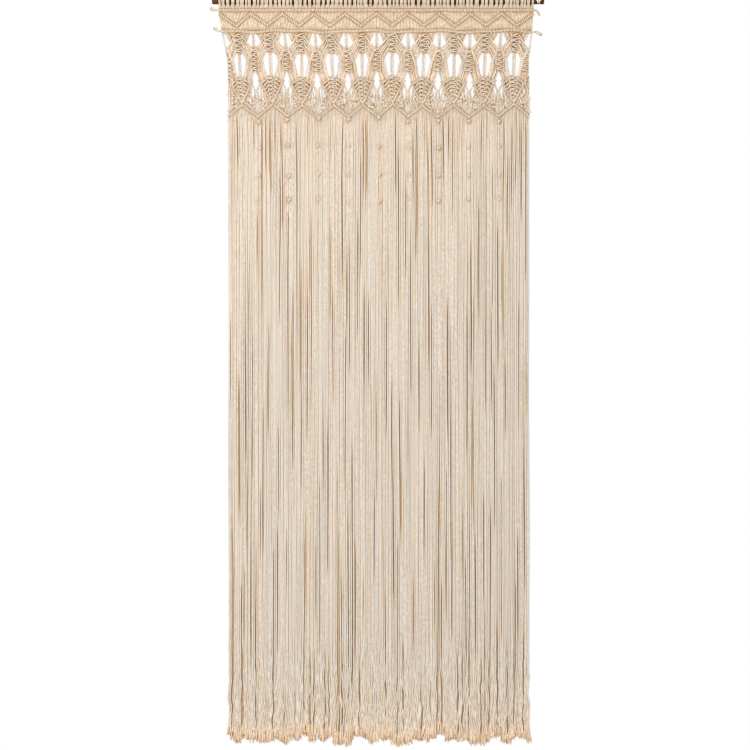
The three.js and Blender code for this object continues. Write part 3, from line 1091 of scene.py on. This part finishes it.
class NetCord(Enum):
    """The groups of cords in a half cell, from the lower holding cord to the ridge of the third leaf.

    Each is the first cord's rank, the number of cords and the places they pass.
    """

    BESIDE_LINE = (0, 1, (
        Waypoint(38.7, -84, 0.0),
        Waypoint(38.6, -104, 0.0),
        Waypoint(38.9, -124, 0.6),
        Waypoint(39.0, -136, 1.6),
        Waypoint(38.8, -160, 1.4),
        Waypoint(38.8, -186, 1.2),
        Waypoint(37.6, -194, 0.0),
        Waypoint(33.2, -206, -0.6),
        Waypoint(30.4, -217, -0.8),
        Waypoint(32.4, -227, -0.8),
        Waypoint(36.4, -236, -1.6),
        Waypoint(38.4, -244, -2.2),
    ))
    BESIDE_HALF_LINE = (0, 1, (
        Waypoint(1.9, -84, 0.0),
        Waypoint(1.9, -92, 2.2),
        Waypoint(1.9, -110, 2.6),
        Waypoint(1.9, -136, 2.0),
        Waypoint(2.4, -150, 0.0),
        Waypoint(2.4, -175, 0.0),
        Waypoint(2.3, -200, 0.0),
        Waypoint(1.9, -214, 1.5),
        Waypoint(1.9, -240, 1.5),
        Waypoint(1.9, -270, 1.0),
    ))
    OVER_SECOND_LEAF = (0, 2, (
        *INTO_FIRST_LEAF,
        Waypoint(15.0, -103, -2.6, 0.0, -5.6, 0.8),
        Waypoint(21.8, -113, -2.4, 0.0, -5.6, 0.4),
        Waypoint(29.0, -121.5, -0.9, 0.0, -5.6),
        Waypoint(35.8, -128, -1.6, 0.6, -3.6),
        Waypoint(30.6, -139.5, -3.0, 3.0, 0.0),
        Waypoint(25.4, -151.5, -3.2, 3.7, 0.0),
        Waypoint(20.8, -163, -3.0, 3.8, 0.0),
        Waypoint(18.6, -177, -1.8, 3.6, 0.0),
        Waypoint(16.2, -190, -0.8, 3.5, 0.0),
        Waypoint(13.4, -203, -0.2, 3.4, 0.0),
        Waypoint(12.6, -213, 1.8, 3.0, -2.0),
        Waypoint(12.0, -240, 1.8, 3.0, -5.0),
    ))
    THROUGH_SECOND_LEAF = (2, 3, (
        *INTO_FIRST_LEAF,
        Waypoint(15.0, -103, -2.6, 0.0, -5.6, 0.8),
        Waypoint(21.8, -113, -2.2, 0.0, -5.6, 0.4),
        Waypoint(29.0, -121.5, -0.9, 0.0, -6.0),
        Waypoint(34.5, -129, 1.2, 0.0, -7.0),
        Waypoint(36.6, -168, 1.6, -0.6, 0),
        Waypoint(37.8, -186, 1.4, -1.6, 0),
        Waypoint(38.4, -195, 0.2, -2.4, 0),
        Waypoint(34.8, -206, 0.0, -2.7, 0),
        Waypoint(33.8, -212, 0.4, -2.6, -2.0),
        Waypoint(33.6, -217, 1.0, -2.6, -4.0),
    ))
    BESIDE_SECOND_LEAF = (5, 4, (
        *INTO_FIRST_LEAF,
        Waypoint(13.0, -101.5, -2.5, 0.0, -5.4, 0.8),
        Waypoint(17.5, -110.5, -2.0, 0.0, -5.2, 0.4),
        Waypoint(34.5, -135.8, -0.6, -1.75, -2.8),
        Waypoint(41.4, -156.6, 0.0, -2.65, -0.6),
        Waypoint(46.0, -173, 0.0, -3.5, 0),
        Waypoint(46.3, -189, 0.0, -3.9, 0),
        Waypoint(41.0, -203, 0.4, -3.75, 0),
        Waypoint(33.6, -213, 1.8, -2.9, 0),
        Waypoint(32.4, -213, 2.4, -2.9, -2.2),
        Waypoint(31.2, -219, 1.6, -2.9, -4.8),
    ))


@dataclass
class LeafNet:
    """Three staggered rows of square-knot leaves and the cords that run between them."""

    finish: bpy.types.Material
    # the finish with painted shade on the front, for the linings
    painted_shade_finish: bpy.types.Material
    first_row: KnotColumn = KnotColumn(-88.0, -140.0, 11.6, 10.2, 6.4)
    second_row: KnotColumn = KnotColumn(-129.0, -190.0, 10.3, 9.7, 6.0)
    third_row: KnotColumn = KnotColumn(-204.0, -265.0, 10.8, 3.6, 5.2)
    side_braid: KnotColumn = KnotColumn(-147.0, -208.0, 6.8, 6.8, 5.6)
    braid_inset: float = 8.6
    cord_radius: float = 2.03
    arm_top: float = -218.0
    arm_foot: float = -271.0
    arm_reach: float = 30.6

    def half_cells(self) -> list[tuple[int, Side]]:
        """Every repeat with each of its sides."""
        return [(cell, side) for cell in range(REPEATS) for side in Side]

    def arm_z(self, reach: Array) -> Array:
        """The height of the third leaf's ridge, which bows outwards, at a distance from the half line."""
        share = np.asarray(reach, float) / self.arm_reach
        return self.arm_foot + (self.arm_top - self.arm_foot) * np.sign(share) * np.abs(share) ** 1.22

    def add_cords(self, cords: Cords) -> None:
        """Adds the cords between the lower holding cord and the third leaves' ridges.

        Args:
            cords: collects the cords.
        """
        rng = np.random.default_rng(SEED + 7)
        for kind in NetCord:
            first, count, places = kind.value
            rank = first + np.arange(count)[:, None]
            column = [np.array([getattr(p, name) for p in places])
                      for name in ("reach", "z", "y", "reach_slope", "z_slope", "paired")]
            reach, z, y, reach_slope, z_slope, paired = (values[None] for values in column)
            behind = (rank % 2) * paired
            for cell, side in self.half_cells():
                shape = (count, len(places))
                heights = z + z_slope * (rank - 0.72 * behind) + rng.normal(0, 0.35, shape)
                away = reach + reach_slope * rank + rng.normal(0, 0.28, shape)
                x = PATTERN.in_half_cell(cell, side, away, heights)
                depth = y + 2.2 * behind + rng.normal(0, 0.85, (count, 1)) + rng.normal(0, 0.3, shape)
                run = smooth_path(points_of(x, depth, heights), 3)
                cords.add(run, self.cord_radius, tones(rng, 0.5, count, 0.34))

    def build_leaves(self) -> bpy.types.Object:
        """Builds the square-knot columns of all three rows and of the side braids.

        Returns:
            The dressed leaves.
        """
        rng = np.random.default_rng(SEED + 8)
        cords = Cords()
        for cell in range(REPEATS):
            self._leaf(cords, cell + 0.5, self.first_row, rng)
            self._leaf(cords, cell + 0.5, self.third_row, rng)
        for line in range(1, REPEATS):
            self._leaf(cords, float(line), self.second_row, rng)
        for side in Side:
            def middle(z: Array, side: Side = side) -> Array:
                """The middle of the side braid."""
                return PATTERN.edge_x(side, z) - side.value * self.braid_inset

            self.side_braid.tie(cords, middle, rng)
        return dress(cords.build("square_knot_leaves", self.finish), "cotton_cord")

    def _leaf(self, cords: Cords, line: float, row: KnotColumn, rng: np.random.Generator) -> None:
        """Ties one leaf of a row.

        Args:
            cords: collects the cords.
            line: the pattern line that the leaf hangs on.
            row: the column of knots that all leaves of the row have.
            rng: draws the unevenness.
        """
        sway = rng.normal(0, 0.5)
        row.tie(cords, lambda z: PATTERN.line_x(line, z) + sway, rng)

    def build_ribs(self) -> bpy.types.Object:
        """Builds the ribs of the third row's leaves and the hitched ridges that frame them.

        Returns:
            The dressed ribs.
        """
        rng = np.random.default_rng(SEED + 9)
        cords = Cords()
        rank = np.arange(5)[:, None]
        reach = np.array([5.2, 9.2, 15.2, 22.4, 28.2])[None]
        taper = np.array([0.4, 1.2, 2.6, 3.7, 4.4])[None]
        drop = np.array([0.4, -2.4, -7.4, -13.0, -17.0])[None]
        depth = np.array([-0.2, -1.8, -3.2, -2.8, -1.0])[None]
        for cell, side in self.half_cells():
            away = reach - taper * rank + rng.normal(0, 0.3, (5, 5))
            z = -207.0 - 9.8 * rank + drop * (1 - 0.1 * rank) + rng.normal(0, 0.25, (5, 5))
            x = PATTERN.in_half_cell(cell, side, away, z)
            ribs = smooth_path(points_of(x, depth + rng.normal(0, 0.15, z.shape), z), 2)
            cords.add(ribs, np.linspace(2.1, 1.7, ribs.shape[1]), tones(rng, 0.6, 5))
            along = np.linspace(self.arm_reach + 1.5, -1.0, 11)
            arm = self.arm_z(along)
            ridge(cords, PATTERN.in_half_cell(cell, side, along, arm), arm, 2, 1.75, 3.6, rng,
                  -0.6 - 0.5 * side.value, 0.15)
        return dress(cords.build("leaf_ribs", self.finish), "cotton_cord")

    def build_linings(self) -> bpy.types.Object:
        """Builds the cords that pass behind the ribs of the third leaves, with painted shade on their front
        sides.

        Returns:
            The dressed linings.
        """
        rng = np.random.default_rng(SEED + 14)
        cords = Cords()
        for cell, side in self.half_cells():
            for place in (9.4, 13.4, 17.4, 21.4, 25.4):
                z = np.linspace(-204 - 0.95 * (place - 9.4), -258, 7)
                x = PATTERN.in_half_cell(cell, side, place * (1 - (-204 - z) / 84), z)
                cords.add(points_of(x, 4.8, z)[None], 2.3, rng.normal(0.2, 0.3))
        return dress(cords.build("leaf_linings", self.painted_shade_finish), "cotton_cord")


BERRY_CORDS = (
    (
        Waypoint(38.4, -243, -2.0),
        Waypoint(38.8, -258, -0.6),
        Waypoint(38.8, -276, 0.0),
        Waypoint(38.9, -292, 0.0),
        Waypoint(39.2, -311, 0.0),
    ),
    (
        Waypoint(29.0, -219.5, 0.0),
        Waypoint(33.2, -231, 0.4),
        Waypoint(37.2, -242, -1.4),
        Waypoint(36.6, -250, 0.2),
        Waypoint(34.8, -262, 0.6),
        Waypoint(34.6, -280, 0.2),
        Waypoint(35.2, -305, 0.0),
    ),
)


@dataclass
class LooseField:
    """The loose cords, small knots and berries between the third leaves and the border.

    The rows of `under_berry` are the knots below a berry: how far to its right, and how far down.
    """

    finish: bpy.types.Material
    net: LeafNet
    knot_width: float = 7.4
    small_knots: int = 20 * REPEATS
    berry_z: float = -243.0
    under_berry: tuple[tuple[float, float], ...] = ((-6.5, 14.0), (6.8, 18.0), (0.5, 27.0), (-4.0, 37.0))
    left_edge_knots: tuple[float, ...] = (-252.0, -295.0, -322.0)
    right_edge_knots: tuple[float, ...] = (-261.0, -298.0)

    def __post_init__(self) -> None:
        """Starts the list of places where a small knot can sit on a cord."""
        self.spots: list[Array] = []

    def add_cords(self, cords: Cords) -> None:
        """Adds the loose cords from the leaves' ridges to the border.

        Args:
            cords: collects the cords.
        """
        rng = np.random.default_rng(SEED + 10)
        count = CORDS_PER_REPEAT // 2 - 2
        start = np.linspace(1.5, 26.4, count)
        goal = 1.9 + 3.7 * np.arange(count)
        share = np.linspace(0, 1, 7)[None]
        for cell, side in self.net.half_cells():
            top = self.net.arm_z(start) - 1.0
            foot = BORDER_ZIGZAG.height(cell + 0.5 + side.value * goal / HALF_REPEAT / 2)
            reach = start[:, None] + (goal * 1.04 - start)[:, None] * share**0.8
            z = top[:, None] + (foot - top)[:, None] * share
            loose = np.clip((top - foot) / 60.0, 0.15, 1.0)[:, None] * np.sin(np.pi * share)
            reach = reach + rng.normal(0, 1.5, reach.shape) * loose
            y = rng.normal(0.6, 1.9, reach.shape) * loose
            runs = smooth_path(points_of(PATTERN.in_half_cell(cell, side, reach, z), y, z), 3)
            cords.add(runs, 1.8, tones(rng, 0.75, count, 0.36))
            self.spots += [runs[cord, ring] for cord in (4, 5, 6, 7, 8) for ring in (5, 8, 11, 14)]
            self._gathered(cords, cell, side, rng)
        for side in Side:
            self._along_edge(cords, side, rng)

    def _along_edge(self, cords: Cords, side: Side, rng: np.random.Generator) -> None:
        """Adds the cords that run together down one side edge.

        Args:
            cords: collects the cords.
            side: which side edge.
            rng: draws the unevenness.
        """
        for rank in range(4):
            z = np.linspace(-199.0 - 3.0 * rank, -316.0, 7)
            inset = 1.0 + 3.3 * rank + rng.normal(0, 0.7, 7)
            x = PATTERN.edge_x(side, z) - side.value * inset
            y = np.array((2.4, 1.4, 0.6, 0.6, 0.6, 0.6, 0.6)) + rng.normal(0, 0.6, 7)
            cords.add(smooth_path(points_of(x, y, z)[None], 3), CORD_RADIUS, rng.normal(0.15, 0.2))

    def _gathered(self, cords: Cords, cell: int, side: Side, rng: np.random.Generator) -> None:
        """Adds the two cords that meet in the berry and part again below it.

        Args:
            cords: collects the cords.
            cell: the repeat, from 0 at the left.
            side: the side of the repeat's half line.
            rng: draws the unevenness.
        """
        for places in BERRY_CORDS:
            reach, z, y = np.array([(place.reach, place.z, place.y) for place in places]).T
            x = PATTERN.in_half_cell(cell, side, reach + rng.normal(0, 0.5, len(reach)), z)
            cords.add(smooth_path(points_of(x, y, z)[None], 4), CORD_RADIUS, rng.normal(0.55, 0.16))

    def build_knots(self) -> bpy.types.Object:
        """Builds the berries under the lower openings and the small knots among the loose cords.

        Returns:
            The dressed knots.
        """
        rng = np.random.default_rng(SEED + 11)
        cords = Cords()
        for line in range(1, REPEATS):
            place = points_of(PATTERN.line_x(line, self.berry_z), -3.2, self.berry_z)
            self._knot(cords, place, 1.25, rng)
            for shift, drop in self.under_berry:
                drop += rng.normal(0, 3.0)
                self._knot(cords, place + np.array((shift + rng.normal(0, 1.0), 0.0, -drop)), 0.9, rng)
        for place in rng.permutation(np.array(self.spots))[: self.small_knots]:
            self._knot(cords, place + np.array((0.0, -2.8, 0.0)), 0.95, rng)
        for side, levels in ((Side.LEFT, self.left_edge_knots), (Side.RIGHT, self.right_edge_knots)):
            for level in levels:
                x = PATTERN.edge_x(side, level) - side.value * 0.6
                self._knot(cords, points_of(x, -1.5, level), 1.4, rng)
        return dress(cords.build("berry_knots", self.finish), "cotton_cord")

    def _knot(self, cords: Cords, place: Array, scale: float, rng: np.random.Generator) -> None:
        """Ties one small knot about a point.

        Args:
            cords: collects the knot's cord and core.
            place: the point.
            scale: its size beside the usual knot width.
            rng: draws its turn and its tone.
        """
        turn = rng.uniform(0, 2 * np.pi)
        path = knot_path(self.knot_width * scale - 2 * CORD_RADIUS, 18)
        spun = points_of(
            path[:, 0] * math.cos(turn) - path[:, 2] * math.sin(turn),
            path[:, 1],
            path[:, 0] * math.sin(turn) + path[:, 2] * math.cos(turn),
        )
        tone = rng.normal(0.65, 0.3)
        cords.add((spun + place)[None], CORD_RADIUS, tone)
        core = place + points_of(0.0, np.linspace(-1.2, 2.2, 5), 0.0)
        cords.add(core[None], np.array([[1.0, 2.2, 2.6, 2.2, 1.0]]), tone)


@dataclass
class Border:
    """The chain of hitched ridges that closes the net."""

    finish: bpy.types.Material
    radius: float = 2.1
    half_width: float = 4.2

    def build(self) -> bpy.types.Object:
        """Builds the border's slopes, each laid over the last one's end.

        Returns:
            The dressed border.
        """
        rng = np.random.default_rng(SEED + 12)
        cords = Cords()
        for start in np.arange(0, REPEATS, 0.5):
            at = np.linspace(start, start + 0.5, CORDS_PER_REPEAT // 2 + 1)
            z = BORDER_ZIGZAG.height(at)
            x = PATTERN.line_x(at, z)
            ridge(cords, x, z, 1, self.radius, self.half_width, rng, -1.9, 0.4, 0.55)
        return dress(cords.build("border_zigzag", self.finish), "cotton_cord", "zigzag_border")


@dataclass
class Strings:
    """The hanging strings: each swings slowly from the front of the curtain to its back and again.

    The rows of `pulls` draw strings together: width of a wave across, strain and which way it drifts.
    The rows of `folds` bring them forward and back: size, width, phase and how fast it drifts with z.
    The rows of `pale_waves` make the pale bands: width, phase and how fast it drifts with z. The rows of
    `sway_waves` and `kink_waves` run down each string: size and length.
    """

    finish: bpy.types.Material
    radius: float = 2.3
    tip: float = -1967.0
    tip_range: float = 25.0
    brush: float = 34.0
    front: float = -1.8
    back: float = 4.6
    pulls: tuple[tuple[float, float, int], ...] = (
        (9.3, 0.05, 1),
        (13.0, 0.05, -1),
        (19.0, 0.05, 1),
        (31.0, 0.05, -1),
        (54.0, 0.05, 1),
        (110.0, 0.04, -1),
    )
    folds: tuple[tuple[float, float, float, float], ...] = (
        (0.7, 23.0, 1.0, 300.0),
        (0.8, 37.0, 2.0, -420.0),
        (1.0, 66.0, 0.0, 640.0),
        (1.2, 131.0, 0.0, -900.0),
    )
    pale_waves: tuple[tuple[float, float, float], ...] = (
        (17.0, 0.0, 640.0),
        (26.0, 2.0, -900.0),
        (41.0, 4.0, 1400.0),
    )
    sway_waves: tuple[tuple[float, float], ...] = ((1.1, 2600.0), (0.9, 1300.0), (0.45, 610.0))
    kink_waves: tuple[tuple[float, float], ...] = ((1.4, 118.0), (1.2, 67.0), (0.6, 36.0))
    # painted shade: strings set back behind the others turn warmer and browner
    painted_shade_warmth: float = 0.7
    pale_band: float = 0.25
    close_in: float = 0.5
    knot_levels: tuple[float, ...] = (-322.0, -390.0, -465.0, -531.0)
    knot_width: float = 10.4

    def __post_init__(self) -> None:
        """Draws what differs from string to string."""
        self.rng = np.random.default_rng(SEED + 13)
        rng = self.rng
        self.at = (np.arange(CORDS) + 0.5) / CORDS_PER_REPEAT
        roll = sum(np.sin(self.at * 2 * np.pi / wide + rng.uniform(0, 6)) for wide in (2.3, 0.9, 0.41))
        tufts = np.repeat(rng.uniform(-1, 1, CORDS // 4 + 1), 4)[:CORDS]
        self.tips = self.tip + self.tip_range * (0.2 * roll + 0.28 * tufts + 0.14 * rng.uniform(-1, 1, CORDS))
        self.tone = rng.normal(0, 0.12, CORDS)
        self.offset = rng.normal(0, 0.35, CORDS)
        waves = 2 * np.pi / np.array((0.9, 0.7, 0.5))
        self.kink = 3.0 * np.sin(self.at[:, None] * waves + rng.uniform(0, 6, 3)) + rng.uniform(0, 6, 3)
        self.kink += rng.normal(0, 0.4, (CORDS, 3))
        self.phase = rng.uniform(0, 2 * np.pi, (CORDS, 3))
        self.shifts = [
            (strain * wide / 2 / np.pi, wide, rng.uniform(0, 6), way * 2 * np.pi / rng.uniform(500, 1600))
            for wide, strain, way in self.pulls
        ]
        self.tone += 0.07 * sum(
            np.sin(self.at * 2 * np.pi / wide + rng.uniform(0, 6)) for wide in (0.16, 0.23, 0.37, 0.83)
        )

    def set_back(self, z: Array) -> Array:
        """How far each string lies behind the others at its own heights z, from 0 to 1.

        Args:
            z: the heights, shaped (strings, heights).

        Returns:
            The shares, shaped like the heights.
        """
        sway = sum(
            size * np.sin(z * 2 * np.pi / wave + self.phase[:, [i]])
            for i, (size, wave) in enumerate(self.sway_waves)
        )
        hold = np.interp(z, (-1800, -1400, -560, -360), (1.12, 1.42, 1.42, 1.1))
        return 1 / (1 + np.exp(6.0 * (hold - sway + 3 * self.near_knots(z))))

    def bands(self, z: Array) -> Array:
        """How much paler the strings are in the pale bands that run down the curtain.

        Args:
            z: the heights, shaped (strings, heights).

        Returns:
            What to add to the tone, shaped like the heights.
        """
        x = PATTERN.line_x(self.at[:, None], z)
        roll = sum(
            np.sin(x * 2 * np.pi / wide + phase + z / rate)
            for wide, phase, rate in self.pale_waves
        )
        return self.pale_band * np.clip(roll - 0.4, 0, 1) * np.clip((-330.0 - z) / 200.0, 0, 1)

    def near_knots(self, z: Array) -> Array:
        """How near each string is to a row of string knots, from 0 to 1."""
        off_line = (self.at[:, None] + 0.5) % 1.0 - 0.5
        return np.exp(-(off_line**2) / 0.004) * (z > -560)

    def places(self, z: Array) -> Array:
        """The middle lines of the strings at their own heights z.

        Args:
            z: the heights, shaped (strings, heights).

        Returns:
            The points, shaped (strings, heights, 3).
        """
        x = PATTERN.line_x(self.at[:, None], z)
        settle = np.clip((BORDER_ZIGZAG.height(self.at)[:, None] - z) / 60.0, 0, 1)
        shift = sum(
            reach * np.sin(2 * np.pi * x / wide + phase + z * drift)
            for reach, wide, phase, drift in self.shifts
        )
        loose = np.clip((-1640.0 - z) / 260.0, 0, 1)
        kinks = sum(
            size * np.sin(z * 2 * np.pi / wave + self.kink[:, [i]])
            for i, (size, wave) in enumerate(self.kink_waves)
        )
        folds = sum(
            size * np.sin(x * 2 * np.pi / wide + phase + z / rate)
            for size, wide, phase, rate in self.folds
        )
        back = self.set_back(z)
        depth = self.front + (self.back - self.front) * back + folds
        depth = (depth - 1.5 * self.near_knots(z)) * settle - 1.0 * (1 - settle)
        depth = depth + loose * 0.8 * np.sin(z * 2 * np.pi / 47.0 + self.kink[:, [1]])
        closing = np.zeros_like(x)
        closing[:-1] += back[1:]
        closing[1:] -= back[:-1]
        x = x + settle * (shift + self.offset[:, None] + self.close_in * closing) + loose * kinks
        return points_of(x, depth, z)

    def build(self) -> list[bpy.types.Object]:
        """Builds the strings in four joined pieces, from the left to the right.

        Returns:
            The four dressed pieces.
        """
        share = np.concatenate([np.linspace(0, 0.02, 4)[:-1], np.linspace(0.02, 0.86, 34)[:-1],
                                np.linspace(0.86, 1.0, 30)])
        top = BORDER_ZIGZAG.height(self.at)[:, None] + 0.5
        end = self.tips[:, None] + self.brush * 0.6
        z = top + (end - top) * share[None]
        paths = self.places(z)
        reach = np.full(paths.shape[1], self.radius)
        reach[:3] = 1.9
        reach[-4:] *= np.array([1.0, 1.12, 1.35, 1.1])
        fade = np.interp(share, (0, 0.08, 0.4, 0.9, 1.0), (0.75, 0.9, 1.1, 1.1, 0.5))
        tone = self.tone[:, None] + fade[None] + self.bands(z) + self.rng.normal(0, 0.12, z.shape)
        # painted shade: set-back strings get a warmer, browner tone
        tone = np.maximum(tone, 0.3) - self.painted_shade_warmth * self.set_back(z) ** 3
        made = []
        for part, chosen in enumerate(np.array_split(np.arange(CORDS), 4)):
            cords = Cords()
            cords.add(paths[chosen], reach[None], tone[chosen])
            made.append(dress(cords.build(f"strings_{part + 1}", self.finish), "cotton_cord", "string_comb"))
        return made

    def build_brushes(self, brushed: bpy.types.Material) -> bpy.types.Object:
        """Builds the frayed brush at each string's end, in a brushed finish.

        Args:
            brushed: the finish of frayed cotton.

        Returns:
            The dressed brushes.
        """
        rng = self.rng
        yarns = 10
        start = self.tips + self.brush * rng.uniform(0.9, 1.1, CORDS)
        length = self.brush * rng.uniform(0.82, 1.08, (CORDS, yarns, 1))
        z = start[:, None, None] - np.array([0.0, 0.35, 0.7, 1.0]) * length
        root = self.places(start[:, None])[:, :, None]
        turn = rng.uniform(0, 2 * np.pi, (CORDS, yarns, 1))
        open_up = np.array([0.5, 2.4, 3.8, 4.8]) * np.sqrt(rng.uniform(0.1, 1.7, (CORDS, yarns, 1)))
        x = root[..., 0] + np.cos(turn) * open_up * 1.35 + rng.normal(0, 0.35, z.shape)
        y = root[..., 1] + np.sin(turn) * open_up + rng.normal(0, 0.3, z.shape)
        paths = points_of(x, y, z).reshape(CORDS * yarns, 4, 3)
        cords = Cords(5)
        thin = np.array([1.15, 1.3, 1.35, 1.35, 1.3, 1.2, 0.85])[None]
        cords.add(smooth_path(paths, 2), thin * rng.uniform(0.85, 1.15, (CORDS * yarns, 1)),
                  np.linspace(0.5, 0.2, 7)[None] + rng.normal(0, 0.3, (CORDS * yarns, 1)))
        return dress(cords.build("frayed_tips", brushed), "cotton_cord")

    def build_knots(self) -> bpy.types.Object:
        """Builds the small overhand knots in the strings under the border's inner valleys.

        Returns:
            The dressed knots.
        """
        cords = Cords()
        for line in range(1, REPEATS):
            for level in self.knot_levels:
                z = level + self.rng.normal(0, 4.0)
                x = float(PATTERN.line_x(line, z)) + self.rng.normal(0, 1.2)
                path = knot_path(self.knot_width - 2 * CORD_RADIUS) + np.array((x, -6.4, z))
                cords.add(path[None], CORD_RADIUS, self.rng.uniform(0.3, 0.8))
                core = points_of(x, np.linspace(-8.0, -4.0, 5), z)
                cords.add(core[None], np.array([[1.0, 2.6, 3.2, 2.6, 1.0]]), 0.4)
        return dress(cords.build("string_knots", self.finish), "cotton_cord")


@dataclass(frozen=True)
class Lamp:
    """A soft rectangular lamp: its place and its aim from the curtain's top middle, in metres."""

    name: str
    place: tuple[float, float, float]
    aim: tuple[float, float, float]
    width: float
    height: float
    power: float

    def hang(self, origin: Array) -> None:
        """Hangs the lamp, measured from the curtain's top middle.

        Args:
            origin: the curtain's top middle, in metres.
        """
        data = bpy.data.lights.new(self.name, "AREA")
        data.shape = "RECTANGLE"
        data.size, data.size_y = self.width, self.height
        data.energy = self.power
        lamp = bpy.data.objects.new(self.name, data)
        lamp.location = origin + np.array(self.place)
        way = np.array(self.aim) - np.array(self.place)
        tilt = math.atan2(math.hypot(way[0], way[1]), -way[2])
        lamp.rotation_euler = (tilt, 0, math.atan2(way[1], way[0]) - math.pi / 2)
        bpy.context.scene.collection.objects.link(lamp)


@dataclass
class Studio:
    """The pale floor, the soft lights and the camera."""

    distance_m: float = 6.0
    view_width_m: float = 1.995
    aim_from_middle_m: float = -0.0065
    aim_below_top_m: float = 1.012
    sensor_mm: float = 36.0
    floor_drop_m: float = 0.05
    floor_behind_m: float = 0.15
    floor_in_front_m: float = 1.6
    floor_half_width_m: float = 1.5
    surround_glow: float = 0.13
    lamps: tuple[Lamp, ...] = (
        Lamp("key", (-1.3, -2.6, -0.6), (0.0, 0.0, -1.1), 0.7, 2.4, 76.0),
        Lamp("fill", (1.6, -2.9, -1.0), (0.0, 0.0, -1.1), 0.7, 2.4, 40.0),
        Lamp("above", (0.0, -1.9, 0.7), (0.0, 0.0, -0.3), 1.2, 0.4, 24.0),
        Lamp("low", (0.2, -1.7, -1.85), (0.0, 0.0, -1.97), 1.4, 0.25, 2.0),
        Lamp("behind", (0.7, 2.6, -0.5), (0.0, 0.0, -1.0), 1.8, 2.0, 62.0),
    )

    def build(self) -> None:
        """Sets the whole studio up."""
        low, high = CAD_BOX
        middle = (low.x + high.x) / 2
        self._camera(middle + self.aim_from_middle_m, high.z - self.aim_below_top_m)
        self._floor(middle, low.z - self.floor_drop_m, high.y)
        for lamp in self.lamps:
            lamp.hang(np.array((middle, 0.0, high.z)))
        self._world()
        bpy.context.scene.view_settings.view_transform = "Standard"

    def _camera(self, x: float, z: float) -> None:
        """Puts the camera straight in front.

        Args:
            x: its place across, in metres.
            z: its height, in metres.
        """
        data = bpy.data.cameras.new("camera")
        data.sensor_width = self.sensor_mm
        data.lens = self.sensor_mm * self.distance_m / self.view_width_m
        camera = bpy.data.objects.new("camera", data)
        camera.location = (x, -self.distance_m, z)
        camera.rotation_euler = (math.radians(90), 0, 0)
        bpy.context.scene.collection.objects.link(camera)
        bpy.context.scene.camera = camera

    def _floor(self, x: float, z: float, back: float) -> None:
        """Lays a pale floor below the string tips.

        Args:
            x: the floor's middle, in metres.
            z: its height, in metres.
            back: where it ends at the back, in metres.
        """
        mesh = bpy.data.meshes.new("floor")
        near, far, half = -self.floor_in_front_m, back + self.floor_behind_m, self.floor_half_width_m
        corners = [(x - half, near, z), (x + half, near, z), (x + half, far, z), (x - half, far, z)]
        mesh.from_pydata(corners, [], [(0, 1, 2, 3)])
        material = bpy.data.materials.new("floor")
        material.use_nodes = True
        shader = material.node_tree.nodes["Principled BSDF"]
        shader.inputs["Base Color"].default_value = (0.86, 0.85, 0.83, 1)
        shader.inputs["Roughness"].default_value = 0.9
        mesh.materials.append(material)
        floor = bpy.data.objects.new("floor", mesh)
        bpy.context.scene.collection.objects.link(floor)

    def _world(self) -> None:
        """Sets an even white surround that is dimmer as a light than as a backdrop."""
        world = bpy.data.worlds.new("surround")
        bpy.context.scene.world = world
        world.use_nodes = True
        nodes, links = world.node_tree.nodes, world.node_tree.links
        backdrop = nodes["Background"]
        backdrop.inputs[0].default_value = (1, 1, 1, 1)
        backdrop.inputs[1].default_value = 1.0
        glow = nodes.new("ShaderNodeBackground")
        glow.inputs[0].default_value = (1.0, 0.97, 0.94, 1)
        glow.inputs[1].default_value = self.surround_glow
        rays = nodes.new("ShaderNodeLightPath")
        chooser = nodes.new("ShaderNodeMixShader")
        links.new(rays.outputs["Is Camera Ray"], chooser.inputs[0])
        links.new(glow.outputs[0], chooser.inputs[1])
        links.new(backdrop.outputs[0], chooser.inputs[2])
        links.new(chooser.outputs[0], nodes["World Output"].inputs[0])


def main() -> None:
    """Builds the studio and the curtain, piece by piece from the rod down."""
    logging.basicConfig(level=logging.INFO, format="%(name)s: %(message)s")
    Studio().build()
    cotton, wood = CottonFinish().make(), WoodFinish().make()
    Rod(wood).build()
    top_cord = HoldingCord(cotton, "holding_cord_top", left_rise=0.35, right_rise=-0.9, waves=0.5, seed=2)
    lower_cord = HoldingCord(cotton, "holding_cord_lower", left_rise=0.6, right_rise=-0.35, waves=3.4, seed=3)
    made = [
        StopperKnot(cotton).build(),
        MountingLoops(cotton).build(),
        top_cord.build(),
        lower_cord.build(),
    ]
    # painted shade: linings whose front sides are painted almost black-brown, for the shadow behind the ribs
    painted_shade_cotton = CottonFinish(name="cotton_cord_painted_shade", painted_hollow_shade=(0.10, 0.05, 0.015), painted_front_shade=1.2).make()
    heading, net = Heading(cotton), LeafNet(cotton, painted_shade_cotton)
    knot_cotton = CottonFinish(name="cotton_small_knots", painted_shade_gain=1.0).make()
    field = LooseField(knot_cotton, net)
    panel_cords = Cords()
    heading.add_cords(panel_cords)
    net.add_cords(panel_cords)
    field.add_cords(panel_cords)
    panel = dress(panel_cords.build("knotted_panel", cotton), "cotton_cord", "zigzag_band", "leaf_net")
    made += [heading.build_ridge(), net.build_leaves(), net.build_ribs(), net.build_linings()]
    made.append(field.build_knots())
    made.append(Border(cotton).build())
    strings = Strings(cotton)
    made += strings.build()
    brushed_cotton = CottonFinish(
        name="cotton_brushed",
        warm=(0.80, 0.60, 0.42),
        pale=(0.78, 0.66, 0.54),
        painted_shade_gain=1.0,
        ply_depth=0.0,
    ).make()
    made += [strings.build_brushes(brushed_cotton), strings.build_knots()]
    for piece in [panel, *made]:
        log.info("ready: %s", piece.name)


if __name__ == "__main__":
    main()
